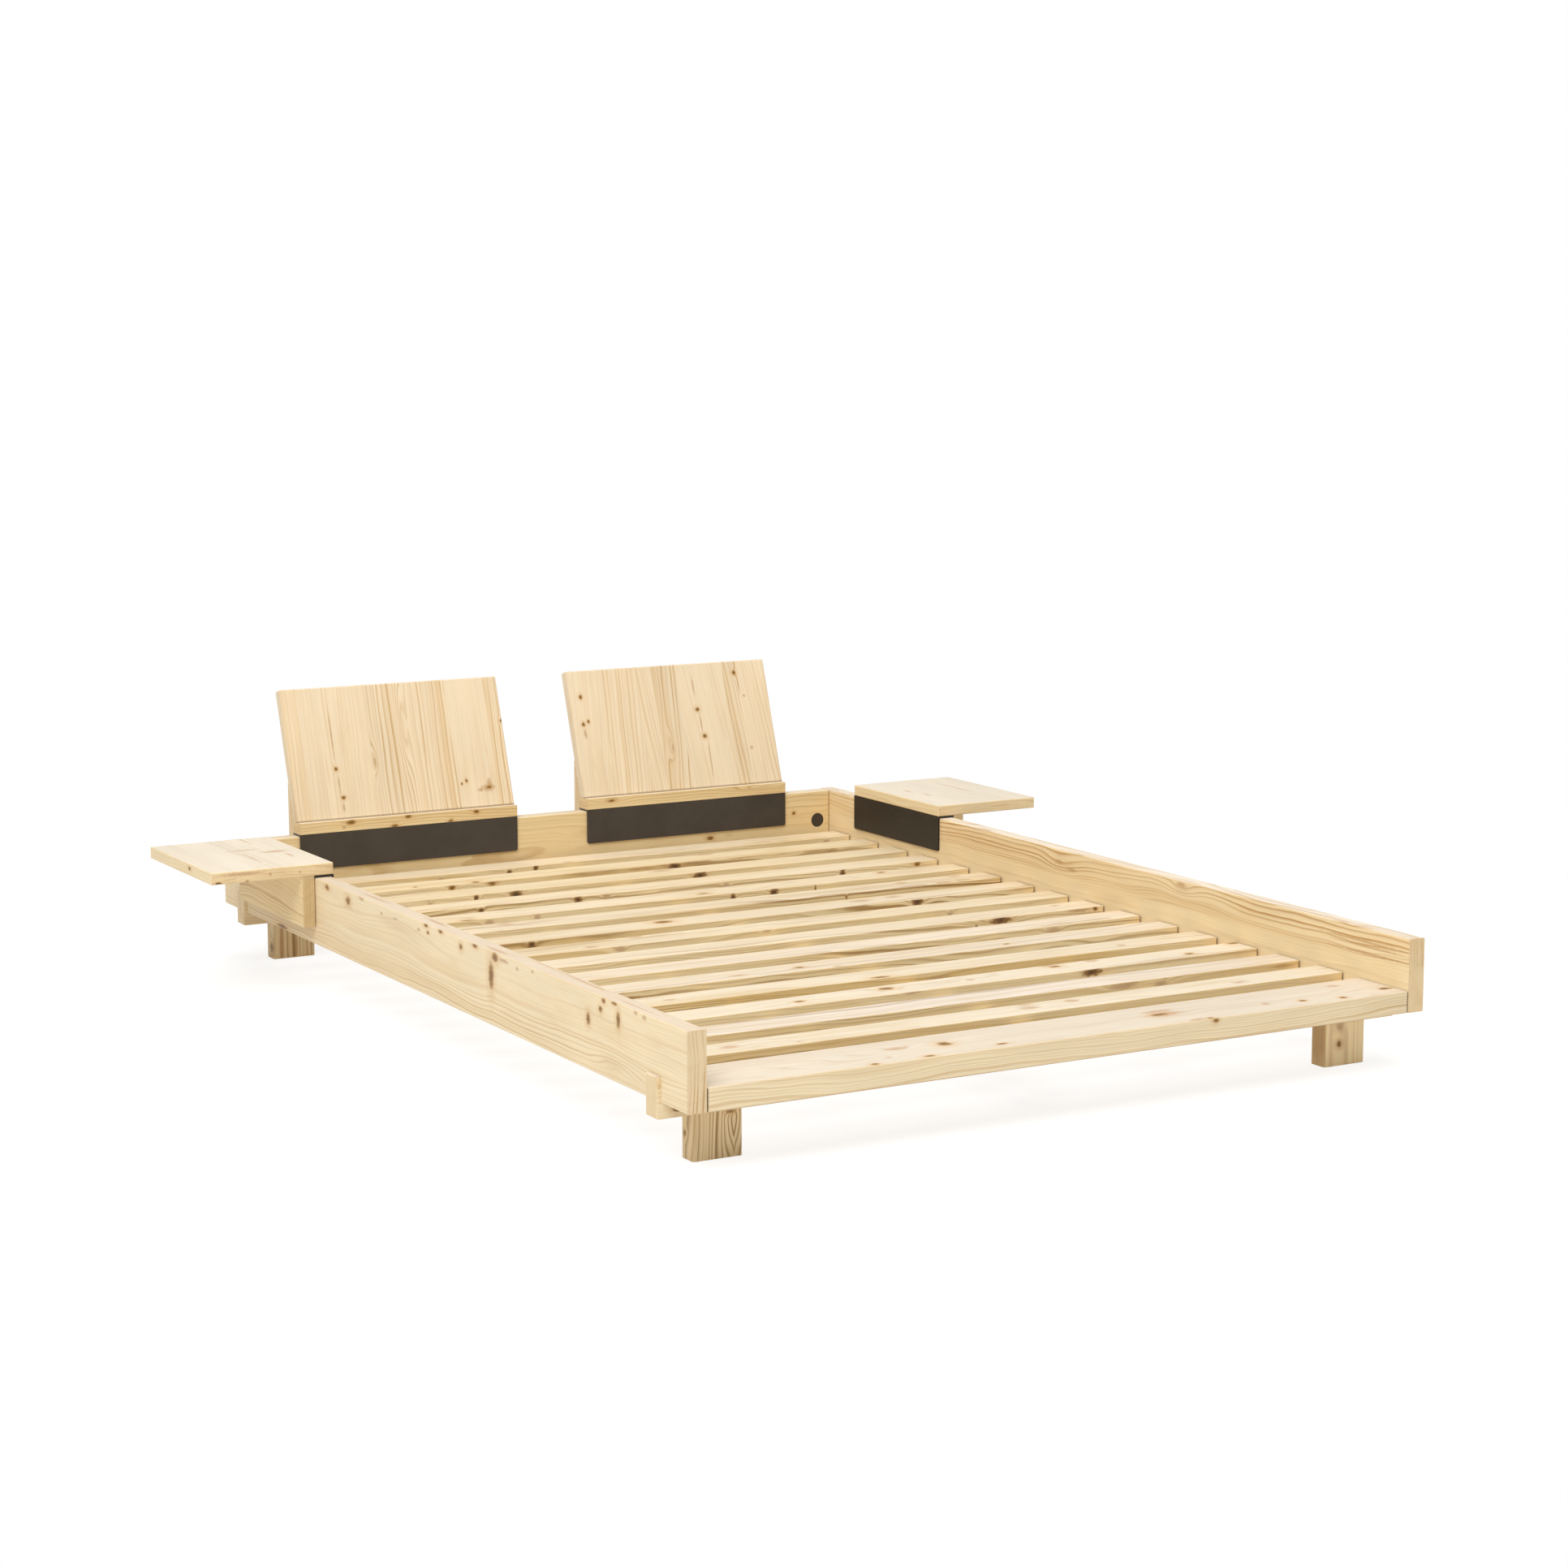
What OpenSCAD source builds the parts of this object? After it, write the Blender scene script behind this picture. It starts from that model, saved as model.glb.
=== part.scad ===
// Low wooden bed frame with two hook-on side tables and two hook-on backrests.
// X runs across the bed, Y from the foot end to the head end, Z up.
// The origin is on the floor, under the middle of the whole frame.

/* [Mattress space] */
// Clear width between the two side boards
clear_w = 1400; // [1300:10:1800]
// Clear length from the foot edge to the headboard
clear_l = 2000; // [1900:10:2200]

/* [Boards] */
// Thickness of the side boards and the headboard
board_t = 34; // [28:1:45]
// Height of the side boards and the headboard
board_h = 132; // [125:1:180]
// Length by which the side boards run past the headboard
board_overrun = 6; // [0:1:30]
// Seam between the headboard's end and the side board
head_seam = 0.5; // [0.3:0.1:0.9]
// Radius of the eased long edges of the boards
board_ease = 2.5; // [0.5:0.5:5]

/* [Foot plank] */
// Thickness of the flat plank at the foot end
plank_t = 39; // [34:1:50]
// Depth of the foot plank
plank_d = 136; // [132:1:180]
// Seam between the foot plank's end and the side board
plank_seam = 1.5; // [0.3:0.1:2]

/* [Slats] */
// Number of cross slats
slat_count = 15; // [10:1:15]
// Width of one slat
slat_w = 70; // [50:1:90]
// Thickness of one slat
slat_t = 18; // [14:1:24]
// Radius of the slats' eased long edges
slat_ease = 1.5; // [0.5:0.5:4]
// Gap between a slat's end and the side board
slat_end_gap = 3; // [1:0.5:6]
// Gap between the foot plank and the first slat
slat_foot_gap = 40; // [10:1:80]
// Gap between the last slat and the headboard
slat_head_gap = 26; // [10:1:80]
// Width of the webbing tapes that keep the slats apart
tape_w = 25; // [15:1:40]
// Thickness of the webbing tapes
tape_t = 1; // [0.5:0.5:3]
// Distance of each tape from the bed's centre line
tape_x = 350; // [150:10:500]

/* [Ledgers and centre rail] */
// Width of the ledger strips that carry the slat ends
ledger_w = 22; // [16:1:30]
// Height of the ledger strips
ledger_h = 24; // [20:1:32]
// Width of the centre rail, and thickness of its leg
rail_w = 39; // [30:1:50]
// Height of the centre rail
rail_h = 46; // [38:1:54]
// Running clearance at the ends of ledgers and rail
rail_gap = 0.5; // [0.2:0.1:0.8]
// Depth of the centre leg along the bed
centre_leg_l = 90; // [70:1:120]

/* [Rail hanger] */
// Sheet thickness of the steel hanger
hanger_t = 2.5; // [1.5:0.5:4]
// Length of rail that the hanger holds
hanger_l = 30; // [20:1:45]
// Distance by which the hanger stays below the slats and the plank's top
hanger_drop = 2; // [1:0.5:4]
// Width of each of the hanger's two ears
hanger_ear_w = 20; // [16:1:30]

/* [Cross beams and legs] */
// Depth of the cross beams and legs along the bed
beam_d = 39; // [30:1:44]
// Thickness of the cross beams
beam_t = 26; // [20:1:34]
// Distance from the end of the frame to each cross beam
beam_inset = 88; // [60:1:92]
// Height of the beam's upstand beside the side board
upstand_h = 42; // [25:1:60]
// Radius of the beams' eased end edges
beam_ease = 2; // [0.5:0.5:4]
// Thickness of the upstand
upstand_t = 19; // [14:1:24]
// Distance by which the upstand stands proud of the side board
upstand_proud = 7; // [3:1:10]
// Clearance round the upstand in its housing
housing_gap = 0.3; // [0.1:0.1:0.8]
// Height of the block legs
leg_h = 77; // [70:1:120]
// Width of the block legs across the bed
leg_w = 90; // [70:1:120]
// Distance from the side board's inner face to the leg
leg_inset = 22; // [5:1:80]
// Radius of the legs' upright edges
leg_ease = 5; // [1:0.5:8]

/* [Side tables] */
// Width of a table top across the bed
table_w = 250; // [180:1:350]
// Length of a table top along the bed
table_l = 351; // [280:1:420]
// Distance from the headboard to a table
table_gap = 118; // [100:1:400]
// Drop of the wooden apron outside the side board
apron_drop = 100; // [70:1:110]

/* [Backrests] */
// Width of a backrest
back_w = 498; // [400:1:560]
// Distance from the side board to a backrest
back_gap = 117.5; // [80:0.5:120]
// Length of the leaning panel, from the base board up
back_l = 285; // [200:1:400]
// Angle by which the panel leans back
back_lean = 18.5; // [10:0.5:25]
// Setback of the leaning panel on its base board
back_setback = 13; // [5:1:14]
// Size of the groove along the leaning panel's foot
back_groove = 1.5; // [0.5:0.5:4]

/* [Saddles] */
// Thickness of the boards in tables and backrests
top_t = 24; // [20:1:30]
// Radius of their eased edges
top_ease = 3; // [0.5:0.5:5]
// Thickness of the steel saddle plates
saddle_t = 4; // [2.5:0.5:6]
// Height of the saddle's face inside the bed
saddle_drop = 75; // [50:1:85]
// Radius of the saddle's lower corners
saddle_corner_r = 5; // [2:1:15]
// Sliding clearance between the saddle and the board's inner face
saddle_gap = 0.3; // [0.1:0.1:1]
// Clearance between the board's outer face and the wooden apron
apron_gap = 2; // [1:0.5:5]

/* [Corner fittings] */
// Diameter of the threaded studs at the four corners
stud_d = 8; // [6:1:10]
// Depth of a stud in the side board
stud_depth = 20; // [12:1:22]
// Length of stud that shows past its nut
stud_tail = 2; // [1:0.5:4]
// Wood between a nut pocket and the dowels beside it
dowel_wood = 4; // [3:0.5:6]
// Diameter of the nut pockets
pocket_d = 32; // [28:1:36]
// Depth of the nut pockets past the middle of the stud
pocket_past = 9; // [8:0.5:10]
// Distance from the board's end to the pocket's centre
pocket_inset = 31; // [26:1:45]
// Distance from the foot edge to the foot studs
plank_stud_y = 45; // [40:1:50]
// Width across the flats of the nuts
nut_af = 13; // [10:1:14]
// Thickness of the nuts
nut_t = 6.5; // [5:0.5:8]
// Depth of the half-moon washers along the pocket
washer_w = 12; // [10:1:16]
// Thickness of the half-moon washers at their middle
washer_t = 5; // [3:0.5:6]
// Thickness of the pocket caps
cap_t = 2; // [1:0.5:3]
// Height of the rim under a pocket cap
cap_rim_h = 3; // [2:0.5:4]
// Wall of the rim under a pocket cap
cap_rim_t = 1.5; // [1:0.5:3]

/* [Dowels and screws] */
// Diameter of the wooden dowels
dowel_d = 8; // [6:1:10]
// Length of a corner dowel
corner_dowel_l = 40; // [30:1:44]
// Distance of the headboard's dowels from its long edges
corner_dowel_edge = 28; // [18:1:34]
// Length of a dowel in a table or backrest
top_dowel_l = 34; // [26:1:36]
// Shank diameter of the long wood screws
long_screw_d = 6; // [5:0.5:7]
// Length of the long wood screws
long_screw_l = 90; // [85:1:95]
// Spacing of the two screws in a leg
leg_screw_pitch = 50; // [30:1:56]
// Shank diameter of the short wood screws
short_screw_d = 4; // [3:0.5:5]
// Length of the short wood screws
short_screw_l = 38; // [34:1:42]
// Number of screws in each ledger
ledger_screw_count = 7; // [4:1:10]
// Distance of the end screws from the ledger's ends
ledger_screw_inset = 110; // [100:1:200]
// Shank diameter of the screws under a saddle
saddle_screw_d = 4; // [3:0.5:5]
// Length of the screws under a saddle
saddle_screw_l = 20; // [14:1:22]
// Number of screws under a saddle
saddle_screw_count = 4; // [2:1:6]
// Clearance round every pin, dowel and screw in its hole
pin_gap = 0.15; // [0.05:0.05:0.3]

/* [Hidden] */
$fn = 48;
pine = [0.93, 0.82, 0.62];
pine_pale = [0.96, 0.88, 0.72];
pine_leg = [0.80, 0.68, 0.48];
black_steel = [0.24, 0.21, 0.19];
zinc = [0.72, 0.72, 0.70];
black_plastic = [0.15, 0.14, 0.13];
beech = [0.85, 0.70, 0.50];
webbing = [0.88, 0.86, 0.80];
over = 1; // extra length that carries a cut through a face

// Heights
beam_top = leg_h + beam_t;
board_top = beam_top + board_h;
slat_seat = beam_top + ledger_h;
slat_top = slat_seat + slat_t;
saddle_top = board_top + saddle_t;
base_top = saddle_top + top_t;
rail_foot_z = slat_seat - rail_h;

// Places across the bed
inner_x = clear_w / 2;
outer_x = inner_x + board_t;
beam_end_x = outer_x + upstand_proud;
upstand_x = beam_end_x - upstand_t;
leg_x = inner_x - leg_inset - leg_w;
board_screw_x = (inner_x + upstand_x) / 2;
pocket_x = inner_x - pocket_inset;

// Places along the bed
frame_l = clear_l + board_t + board_overrun;
head_beam_y = frame_l - beam_inset - beam_d;
beam_places = [beam_inset, head_beam_y];
ledger_y = plank_d + rail_gap;
ledger_l = clear_l - ledger_y - rail_gap;
slat_y = plank_d + slat_foot_gap;
slat_run = clear_l - slat_head_gap - slat_w - slat_y;
slat_pitch = slat_run / (slat_count - 1);
rail_y = plank_d + hanger_t + rail_gap;
rail_l = clear_l - rail_gap - rail_y;
centre_leg_y = rail_y + (rail_l - centre_leg_l) / 2;
head_stud_y = clear_l + board_t / 2;
table_y = clear_l - table_gap - table_l;

// The saddle and the apron, measured from a board's inner face outwards
saddle_face = -saddle_gap - saddle_t;
apron_face = board_t + apron_gap;

// The backrest's leaning panel, in its own upright plane from the headboard's inner face
lean_foot = saddle_face + back_setback;
lean_depth = top_t / cos(back_lean);
lean_back = lean_foot + lean_depth;
lean_reach = (back_l - top_ease) * sin(back_lean) + (top_t - top_ease) * cos(back_lean) + top_ease;
apron_back = apron_face + top_t;
frame_depth = clear_l + lean_foot + lean_reach;

// Every slat's name ends in its number, counted from the foot end
function slat_name(i) = str("slat_", i < 9 ? "0" : "", i + 1);
slat_names = [for (i = [0 : slat_count - 1]) slat_name(i)];

// ---- Shared shapes ----

// Moves the whole frame so that the origin lies under its middle
module placed() {
    translate([0, -frame_depth / 2, 0]) children();
}

// Rectangle with round corners, its lower left corner at the origin
module eased_rect(w, h, r) {
    translate([r, 0]) square([w - 2 * r, h]);
    translate([0, r]) square([w, h - 2 * r]);
    for (x = [r, w - r], y = [r, h - r]) translate([x, y]) circle(r);
}

// Board along X with eased long edges
module board_x(l, d, h, r) {
    rotate([90, 0, 90]) linear_extrude(l) eased_rect(d, h, r);
}

// Board along Y with eased long edges
module board_y(w, l, h, r) {
    translate([0, l, 0]) rotate([90, 0, 0]) linear_extrude(l) eased_rect(w, h, r);
}

// Upright block with eased upright edges
module block_z(w, l, h, r) {
    linear_extrude(h) eased_rect(w, l, r);
}

// Panel with all its edges eased
module eased_panel(w, l, h, r) {
    intersection() {
        board_x(w, l, h, r);
        board_y(w, l, h, r);
        block_z(w, l, h, r);
    }
}

// Copies on both sides of the bed
module both_sides() {
    children();
    mirror([1, 0, 0]) children();
}

// The left or the right one of a pair: side is -1 or 1
module on_side(side) {
    mirror([side < 0 ? 1 : 0, 0, 0]) children();
}

// Pin along X, Y or Z that starts at the origin; gap widens it to its hole
module pin_x(d, l, gap = 0) {
    rotate([0, 90, 0]) cylinder(d = d + 2 * gap, h = l);
}

module pin_y(d, l, gap = 0) {
    rotate([-90, 0, 0]) cylinder(d = d + 2 * gap, h = l);
}

module pin_z(d, l, gap = 0) {
    cylinder(d = d + 2 * gap, h = l);
}

// Countersunk wood screw that points down, its head's face at the origin; gap widens it to its hole
module screw(d, l, gap = 0) {
    head_r = d + gap;
    shank_r = d / 2 + gap;
    head_h = head_r - shank_r;
    tip_h = 1.5 * d;
    rotate_extrude() polygon([
        [0, gap > 0 ? over : 0],
        [head_r, gap > 0 ? over : 0],
        [head_r, 0],
        [shank_r, -head_h],
        [shank_r, -l + tip_h - gap],
        [0, -l - 2 * gap]
    ]);
}

// ---- Where the fasteners go ----

module at_head_studs() {
    both_sides() translate([pocket_x, head_stud_y, beam_top + board_h / 2]) children();
}

module at_plank_studs() {
    both_sides() translate([pocket_x, plank_stud_y, beam_top + plank_t / 2]) children();
}

// The pocket's mouth faces -Y at the headboard and -Z under the plank
module at_all_studs() {
    at_head_studs() children();
    at_plank_studs() rotate([90, 0, 0]) children();
}

module stud(gap = 0) {
    start = washer_seat() - nut_t - stud_tail;
    translate([start, 0, 0]) pin_x(stud_d, pocket_inset + stud_depth - start, gap);
}

// Distance from the pocket's centre to the washer's flat face
function washer_seat() = pocket_d / 2 - pin_gap - washer_t;

module corner_dowel(gap = 0) {
    l = corner_dowel_l + (gap > 0 ? 1 : 0);
    translate([inner_x - l / 2, 0, 0]) pin_x(dowel_d, l, gap);
}

module at_head_dowels() {
    for (z = [corner_dowel_edge, board_h - corner_dowel_edge])
        translate([0, head_stud_y, beam_top + z]) children();
}

module at_plank_dowels() {
    reach = pocket_d / 2 + dowel_d + dowel_wood;
    for (y = [plank_stud_y - reach, plank_stud_y + reach])
        translate([0, y, beam_top + plank_t / 2]) children();
}

// Screws from below through each beam into the side boards
module at_beam_screws() {
    for (y = beam_places) both_sides()
        translate([board_screw_x, y + beam_d / 2, leg_h]) mirror([0, 0, 1]) children();
}

// Screws from above through each beam into the legs
module at_leg_screws() {
    for (y = beam_places, dx = [-leg_screw_pitch / 2, leg_screw_pitch / 2]) both_sides()
        translate([leg_x + leg_w / 2 + dx, y + beam_d / 2, beam_top]) children();
}

module at_centre_leg_screws() {
    for (dy = [-leg_screw_pitch / 2, leg_screw_pitch / 2])
        translate([0, centre_leg_y + centre_leg_l / 2 + dy, slat_seat]) children();
}

// Screws through the ledger into the side board on the right
module at_ledger_screws() {
    pitch = (ledger_l - 2 * ledger_screw_inset) / (ledger_screw_count - 1);
    for (i = [0 : ledger_screw_count - 1])
        translate([inner_x - ledger_w, ledger_y + ledger_screw_inset + i * pitch, beam_top + ledger_h / 2])
            rotate([0, -90, 0]) children();
}

// Screws through the hanger's ears into the back of the foot plank
module at_hanger_screws() {
    for (x = [-1, 1], dz = [-1, 1])
        translate([
            x * (rail_w / 2 + rail_gap + hanger_t + hanger_ear_w / 2),
            plank_d + hanger_t,
            beam_top + plank_t / 2 + dz * plank_t / 5
        ]) rotate([-90, 0, 0]) children();
}

// ---- Boards ----

module side_board(side) {
    color(pine) placed() on_side(side) difference() {
        translate([inner_x, 0, beam_top]) board_y(board_t, frame_l, board_h, board_ease);
        for (y = beam_places)
            translate([upstand_x - housing_gap, y - housing_gap, beam_top - over])
                cube([board_t, beam_d + 2 * housing_gap, upstand_h + housing_gap + over]);
        at_all_studs() stud(pin_gap);
        at_head_dowels() corner_dowel(pin_gap);
        at_plank_dowels() corner_dowel(pin_gap);
        at_beam_screws() screw(long_screw_d, long_screw_l, pin_gap);
        at_ledger_screws() screw(short_screw_d, short_screw_l, pin_gap);
    }
}

// Nut pocket along +Y, opened in the board's face at the given distance from the stud
module pocket(face) {
    translate([0, -face - over, 0]) pin_y(pocket_d, over + face + pocket_past);
}

module headboard() {
    color(pine) placed() difference() {
        translate([-inner_x + head_seam, clear_l, beam_top])
            board_x(clear_w - 2 * head_seam, board_t, board_h, board_ease);
        at_head_studs() {
            stud(pin_gap);
            pocket(board_t / 2);
        }
        both_sides() at_head_dowels() corner_dowel(pin_gap);
    }
}

module foot_plank() {
    color(pine_pale) placed() difference() {
        translate([-inner_x + plank_seam, 0, beam_top])
            board_x(clear_w - 2 * plank_seam, plank_d, plank_t, board_ease);
        at_plank_studs() {
            stud(pin_gap);
            rotate([90, 0, 0]) pocket(plank_t / 2);
        }
        both_sides() at_plank_dowels() corner_dowel(pin_gap);
        at_hanger_screws() screw(short_screw_d, short_screw_l, pin_gap);
    }
}

// ---- Slats and what carries them ----

module slat(i) {
    color(pine_pale) placed()
        translate([-inner_x + slat_end_gap, slat_y + i * slat_pitch, slat_seat])
            board_x(clear_w - 2 * slat_end_gap, slat_w, slat_t, slat_ease);
}

module slat_tapes() {
    color(webbing) placed() both_sides()
        translate([tape_x - tape_w / 2, slat_y, slat_seat - tape_t])
            cube([tape_w, slat_run + slat_w, tape_t]);
}

module ledger(side) {
    color(pine) placed() on_side(side) difference() {
        translate([inner_x - ledger_w, ledger_y, beam_top]) cube([ledger_w, ledger_l, ledger_h]);
        at_ledger_screws() screw(short_screw_d, short_screw_l, pin_gap);
    }
}

module centre_rail() {
    color(pine) placed() difference() {
        translate([-rail_w / 2, rail_y, rail_foot_z]) cube([rail_w, rail_l, rail_h]);
        translate([-rail_w, head_beam_y - rail_gap, rail_foot_z - over])
            cube([2 * rail_w, beam_d + 2 * rail_gap, beam_top - rail_foot_z + over]);
        at_centre_leg_screws() screw(long_screw_d, long_screw_l, pin_gap);
    }
}

module rail_hanger() {
    cheek_x = rail_w / 2 + rail_gap;
    ear_h = plank_t - 2 * hanger_drop;
    color(zinc) placed() difference() {
        union() {
            both_sides() {
                translate([cheek_x, plank_d, rail_foot_z - hanger_t])
                    cube([hanger_t, hanger_l, rail_h + hanger_t - hanger_drop]);
                translate([cheek_x, plank_d, beam_top + hanger_drop])
                    cube([hanger_t + hanger_ear_w, hanger_t, ear_h]);
            }
            translate([-cheek_x - over / 2, plank_d, rail_foot_z - hanger_t])
                cube([2 * cheek_x + over, hanger_l, hanger_t]);
        }
        at_hanger_screws() screw(short_screw_d, short_screw_l, pin_gap);
    }
}

module centre_leg() {
    color(pine_leg) placed() difference() {
        translate([-rail_w / 2, centre_leg_y, 0]) block_z(rail_w, centre_leg_l, rail_foot_z, leg_ease);
        at_centre_leg_screws() screw(long_screw_d, long_screw_l, pin_gap);
    }
}

// ---- Cross beams and legs ----

module beam(y) {
    color(pine) placed() difference() {
        translate([-beam_end_x, y, leg_h]) intersection() {
            board_y(2 * beam_end_x, beam_d, beam_t + upstand_h, beam_ease);
            block_z(2 * beam_end_x, beam_d, beam_t + upstand_h, beam_ease);
        }
        translate([-upstand_x, y - over, beam_top])
            cube([2 * upstand_x, beam_d + 2 * over, upstand_h + over]);
        at_beam_screws() screw(long_screw_d, long_screw_l, pin_gap);
        at_leg_screws() screw(long_screw_d, long_screw_l, pin_gap);
    }
}

module leg(side, y) {
    color(pine_leg) placed() on_side(side) difference() {
        translate([leg_x, y, 0]) block_z(leg_w, beam_d, leg_h, leg_ease);
        at_leg_screws() screw(long_screw_d, long_screw_l, pin_gap);
    }
}

// ---- Fasteners of the frame ----

module corner_studs() {
    color(zinc) placed() at_all_studs() stud();
}

// Half-moon washer: round against the pocket's wall, flat under the nut
module corner_washers() {
    r = pocket_d / 2 - pin_gap;
    color(zinc) placed() at_all_studs() difference() {
        intersection() {
            translate([0, -washer_w / 2, 0]) pin_y(2 * r, washer_w);
            translate([washer_seat(), -r, -r]) cube([washer_t, 2 * r, 2 * r]);
        }
        pin_x(stud_d, pocket_d, pin_gap);
    }
}

module corner_nuts() {
    color(zinc) placed() at_all_studs() translate([washer_seat() - nut_t, 0, 0]) difference() {
        rotate([0, 90, 0]) cylinder(d = nut_af / cos(30), h = nut_t, $fn = 6);
        translate([-over, 0, 0]) pin_x(stud_d, nut_t + 2 * over, pin_gap);
    }
}

// Flush round cap with a short rim, its face towards -Y
module pocket_cap(face) {
    d = pocket_d - 2 * pin_gap;
    translate([0, -face, 0]) {
        pin_y(d, cap_t);
        difference() {
            pin_y(d, cap_t + cap_rim_h);
            translate([0, cap_t / 2, 0]) pin_y(d - 2 * cap_rim_t, cap_t + cap_rim_h);
        }
    }
}

module pocket_caps() {
    color(black_plastic) placed() {
        at_head_studs() pocket_cap(board_t / 2);
        at_plank_studs() rotate([90, 0, 0]) pocket_cap(plank_t / 2);
    }
}

module corner_dowels() {
    color(beech) placed() both_sides() {
        at_head_dowels() corner_dowel();
        at_plank_dowels() corner_dowel();
    }
}

module long_screws() {
    color(zinc) placed() {
        at_beam_screws() screw(long_screw_d, long_screw_l);
        at_leg_screws() screw(long_screw_d, long_screw_l);
        at_centre_leg_screws() screw(long_screw_d, long_screw_l);
    }
}

module short_screws() {
    color(zinc) placed() {
        both_sides() at_ledger_screws() screw(short_screw_d, short_screw_l);
        at_hanger_screws() screw(short_screw_d, short_screw_l);
    }
}

// ---- Saddles: an add-on's own frame ----
// Here X runs along the board that carries the add-on, Y outwards from that board's inner
// face, and Z up. A table turns this frame onto a side board, a backrest onto the headboard.

module saddle(l) {
    difference() {
        union() {
            translate([0, saddle_face, board_top]) cube([l, apron_face - saddle_face, saddle_t]);
            translate([0, saddle_face, saddle_top]) mirror([0, 0, 1]) saddle_face_plate(l);
        }
        at_saddle_screws(l) screw(saddle_screw_d, saddle_screw_l, pin_gap);
    }
}

// Upright face of the saddle, hanging from z = 0, with two round lower corners
module saddle_face_plate(l) {
    r = saddle_corner_r;
    translate([0, saddle_t, 0]) rotate([90, 0, 0]) linear_extrude(saddle_t) {
        square([l, saddle_drop - r]);
        translate([r, 0]) square([l - 2 * r, saddle_drop]);
        for (x = [r, l - r]) translate([x, saddle_drop - r]) circle(r);
    }
}

// Screws that point up from the saddle's underside
module at_saddle_screws(l) {
    for (i = [0 : saddle_screw_count - 1])
        translate([l * (i + 0.5) / saddle_screw_count, board_t / 4, board_top])
            mirror([0, 0, 1]) children();
}

// ---- Side tables ----

module on_table(side) {
    placed() on_side(side) translate([inner_x, table_y + table_l, 0]) rotate([0, 0, -90]) children();
}

module at_table_dowels() {
    for (i = [0 : 2])
        translate([table_l * (i + 0.5) / 3, apron_face + top_t / 2, saddle_top - top_dowel_l / 2])
            children();
}

module table_top(side) {
    color(pine_pale) on_table(side) difference() {
        translate([0, saddle_face, saddle_top]) eased_panel(table_l, table_w, top_t, top_ease);
        at_saddle_screws(table_l) screw(saddle_screw_d, saddle_screw_l, pin_gap);
        at_table_dowels() pin_z(dowel_d, top_dowel_l + pin_gap, pin_gap);
    }
}

module table_apron(side) {
    color(pine) on_table(side) difference() {
        translate([0, apron_face, saddle_top - apron_drop])
            board_x(table_l, top_t, apron_drop, 1);
        at_table_dowels() translate([0, 0, -pin_gap]) pin_z(dowel_d, top_dowel_l, pin_gap);
    }
}

module table_saddle(side) {
    color(black_steel) on_table(side) saddle(table_l);
}

module table_screws(side) {
    color(zinc) on_table(side) at_saddle_screws(table_l) screw(saddle_screw_d, saddle_screw_l);
}

module table_dowels(side) {
    color(beech) on_table(side) at_table_dowels() pin_z(dowel_d, top_dowel_l);
}

// ---- Backrests ----

module on_backrest(side) {
    placed() on_side(side) translate([inner_x - back_gap - back_w, clear_l, 0]) children();
}

// Outline in the upright plane across the headboard, drawn as [outwards, up]
module along_backrest() {
    rotate([90, 0, 90]) linear_extrude(back_w) children();
}

// Upright dowels from the base board into the leaning panel
module at_lean_dowels() {
    for (share = [1 : 3])
        translate([back_w * share / 4, lean_foot + lean_depth / 2, base_top - top_dowel_l / 2])
            children();
}

// Dowels from the base board out into the apron
module at_apron_dowels() {
    for (share = [1, 5, 11, 15])
        translate([back_w * share / 16, apron_face - top_dowel_l / 2, saddle_top + top_t / 2])
            children();
}

module backrest_base(side) {
    color(pine) on_backrest(side) difference() {
        translate([0, saddle_face, saddle_top])
            board_x(back_w, apron_face - saddle_face, top_t, 1);
        at_saddle_screws(back_w) screw(saddle_screw_d, saddle_screw_l, pin_gap);
        at_lean_dowels() translate([0, 0, -pin_gap]) pin_z(dowel_d, top_dowel_l, pin_gap);
        at_apron_dowels() translate([0, -pin_gap, 0]) pin_y(dowel_d, top_dowel_l, pin_gap);
    }
}

// Leaning panel: a board with eased edges, cut level where it stands on the base board
module backrest_back(side) {
    spare = top_t * tan(back_lean) + 2 * top_ease;
    color(pine_pale) on_backrest(side) difference() {
        intersection() {
            translate([0, lean_foot, base_top]) rotate([-back_lean, 0, 0])
                translate([0, 0, -spare]) eased_panel(back_w, top_t, back_l + spare, top_ease);
            translate([-over, -back_l, base_top]) cube([back_w + 2 * over, 3 * back_l, 2 * back_l]);
        }
        translate([-over, lean_foot, base_top]) rotate([45, 0, 0])
            translate([0, -back_groove / 2, -back_groove / 2])
                cube([back_w + 2 * over, back_groove, back_groove]);
        at_lean_dowels() pin_z(dowel_d, top_dowel_l + pin_gap, pin_gap);
    }
}

// Apron outside the headboard, its top bevelled to the back of the leaning panel
module backrest_apron(side) {
    rise = 1 / tan(back_lean);
    color(pine) on_backrest(side) difference() {
        along_backrest() polygon([
            [apron_face, saddle_top - apron_drop],
            [apron_back, saddle_top - apron_drop],
            [apron_back, base_top + (apron_back - lean_back) * rise],
            [apron_face, base_top + (apron_face - lean_back) * rise]
        ]);
        at_apron_dowels() pin_y(dowel_d, top_dowel_l + pin_gap, pin_gap);
    }
}

module backrest_saddle(side) {
    color(black_steel) on_backrest(side) saddle(back_w);
}

module backrest_screws(side) {
    color(zinc) on_backrest(side) at_saddle_screws(back_w) screw(saddle_screw_d, saddle_screw_l);
}

module backrest_dowels(side) {
    color(beech) on_backrest(side) {
        at_lean_dowels() pin_z(dowel_d, top_dowel_l);
        at_apron_dowels() pin_y(dowel_d, top_dowel_l);
    }
}

// ---- The parts ----

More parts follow.
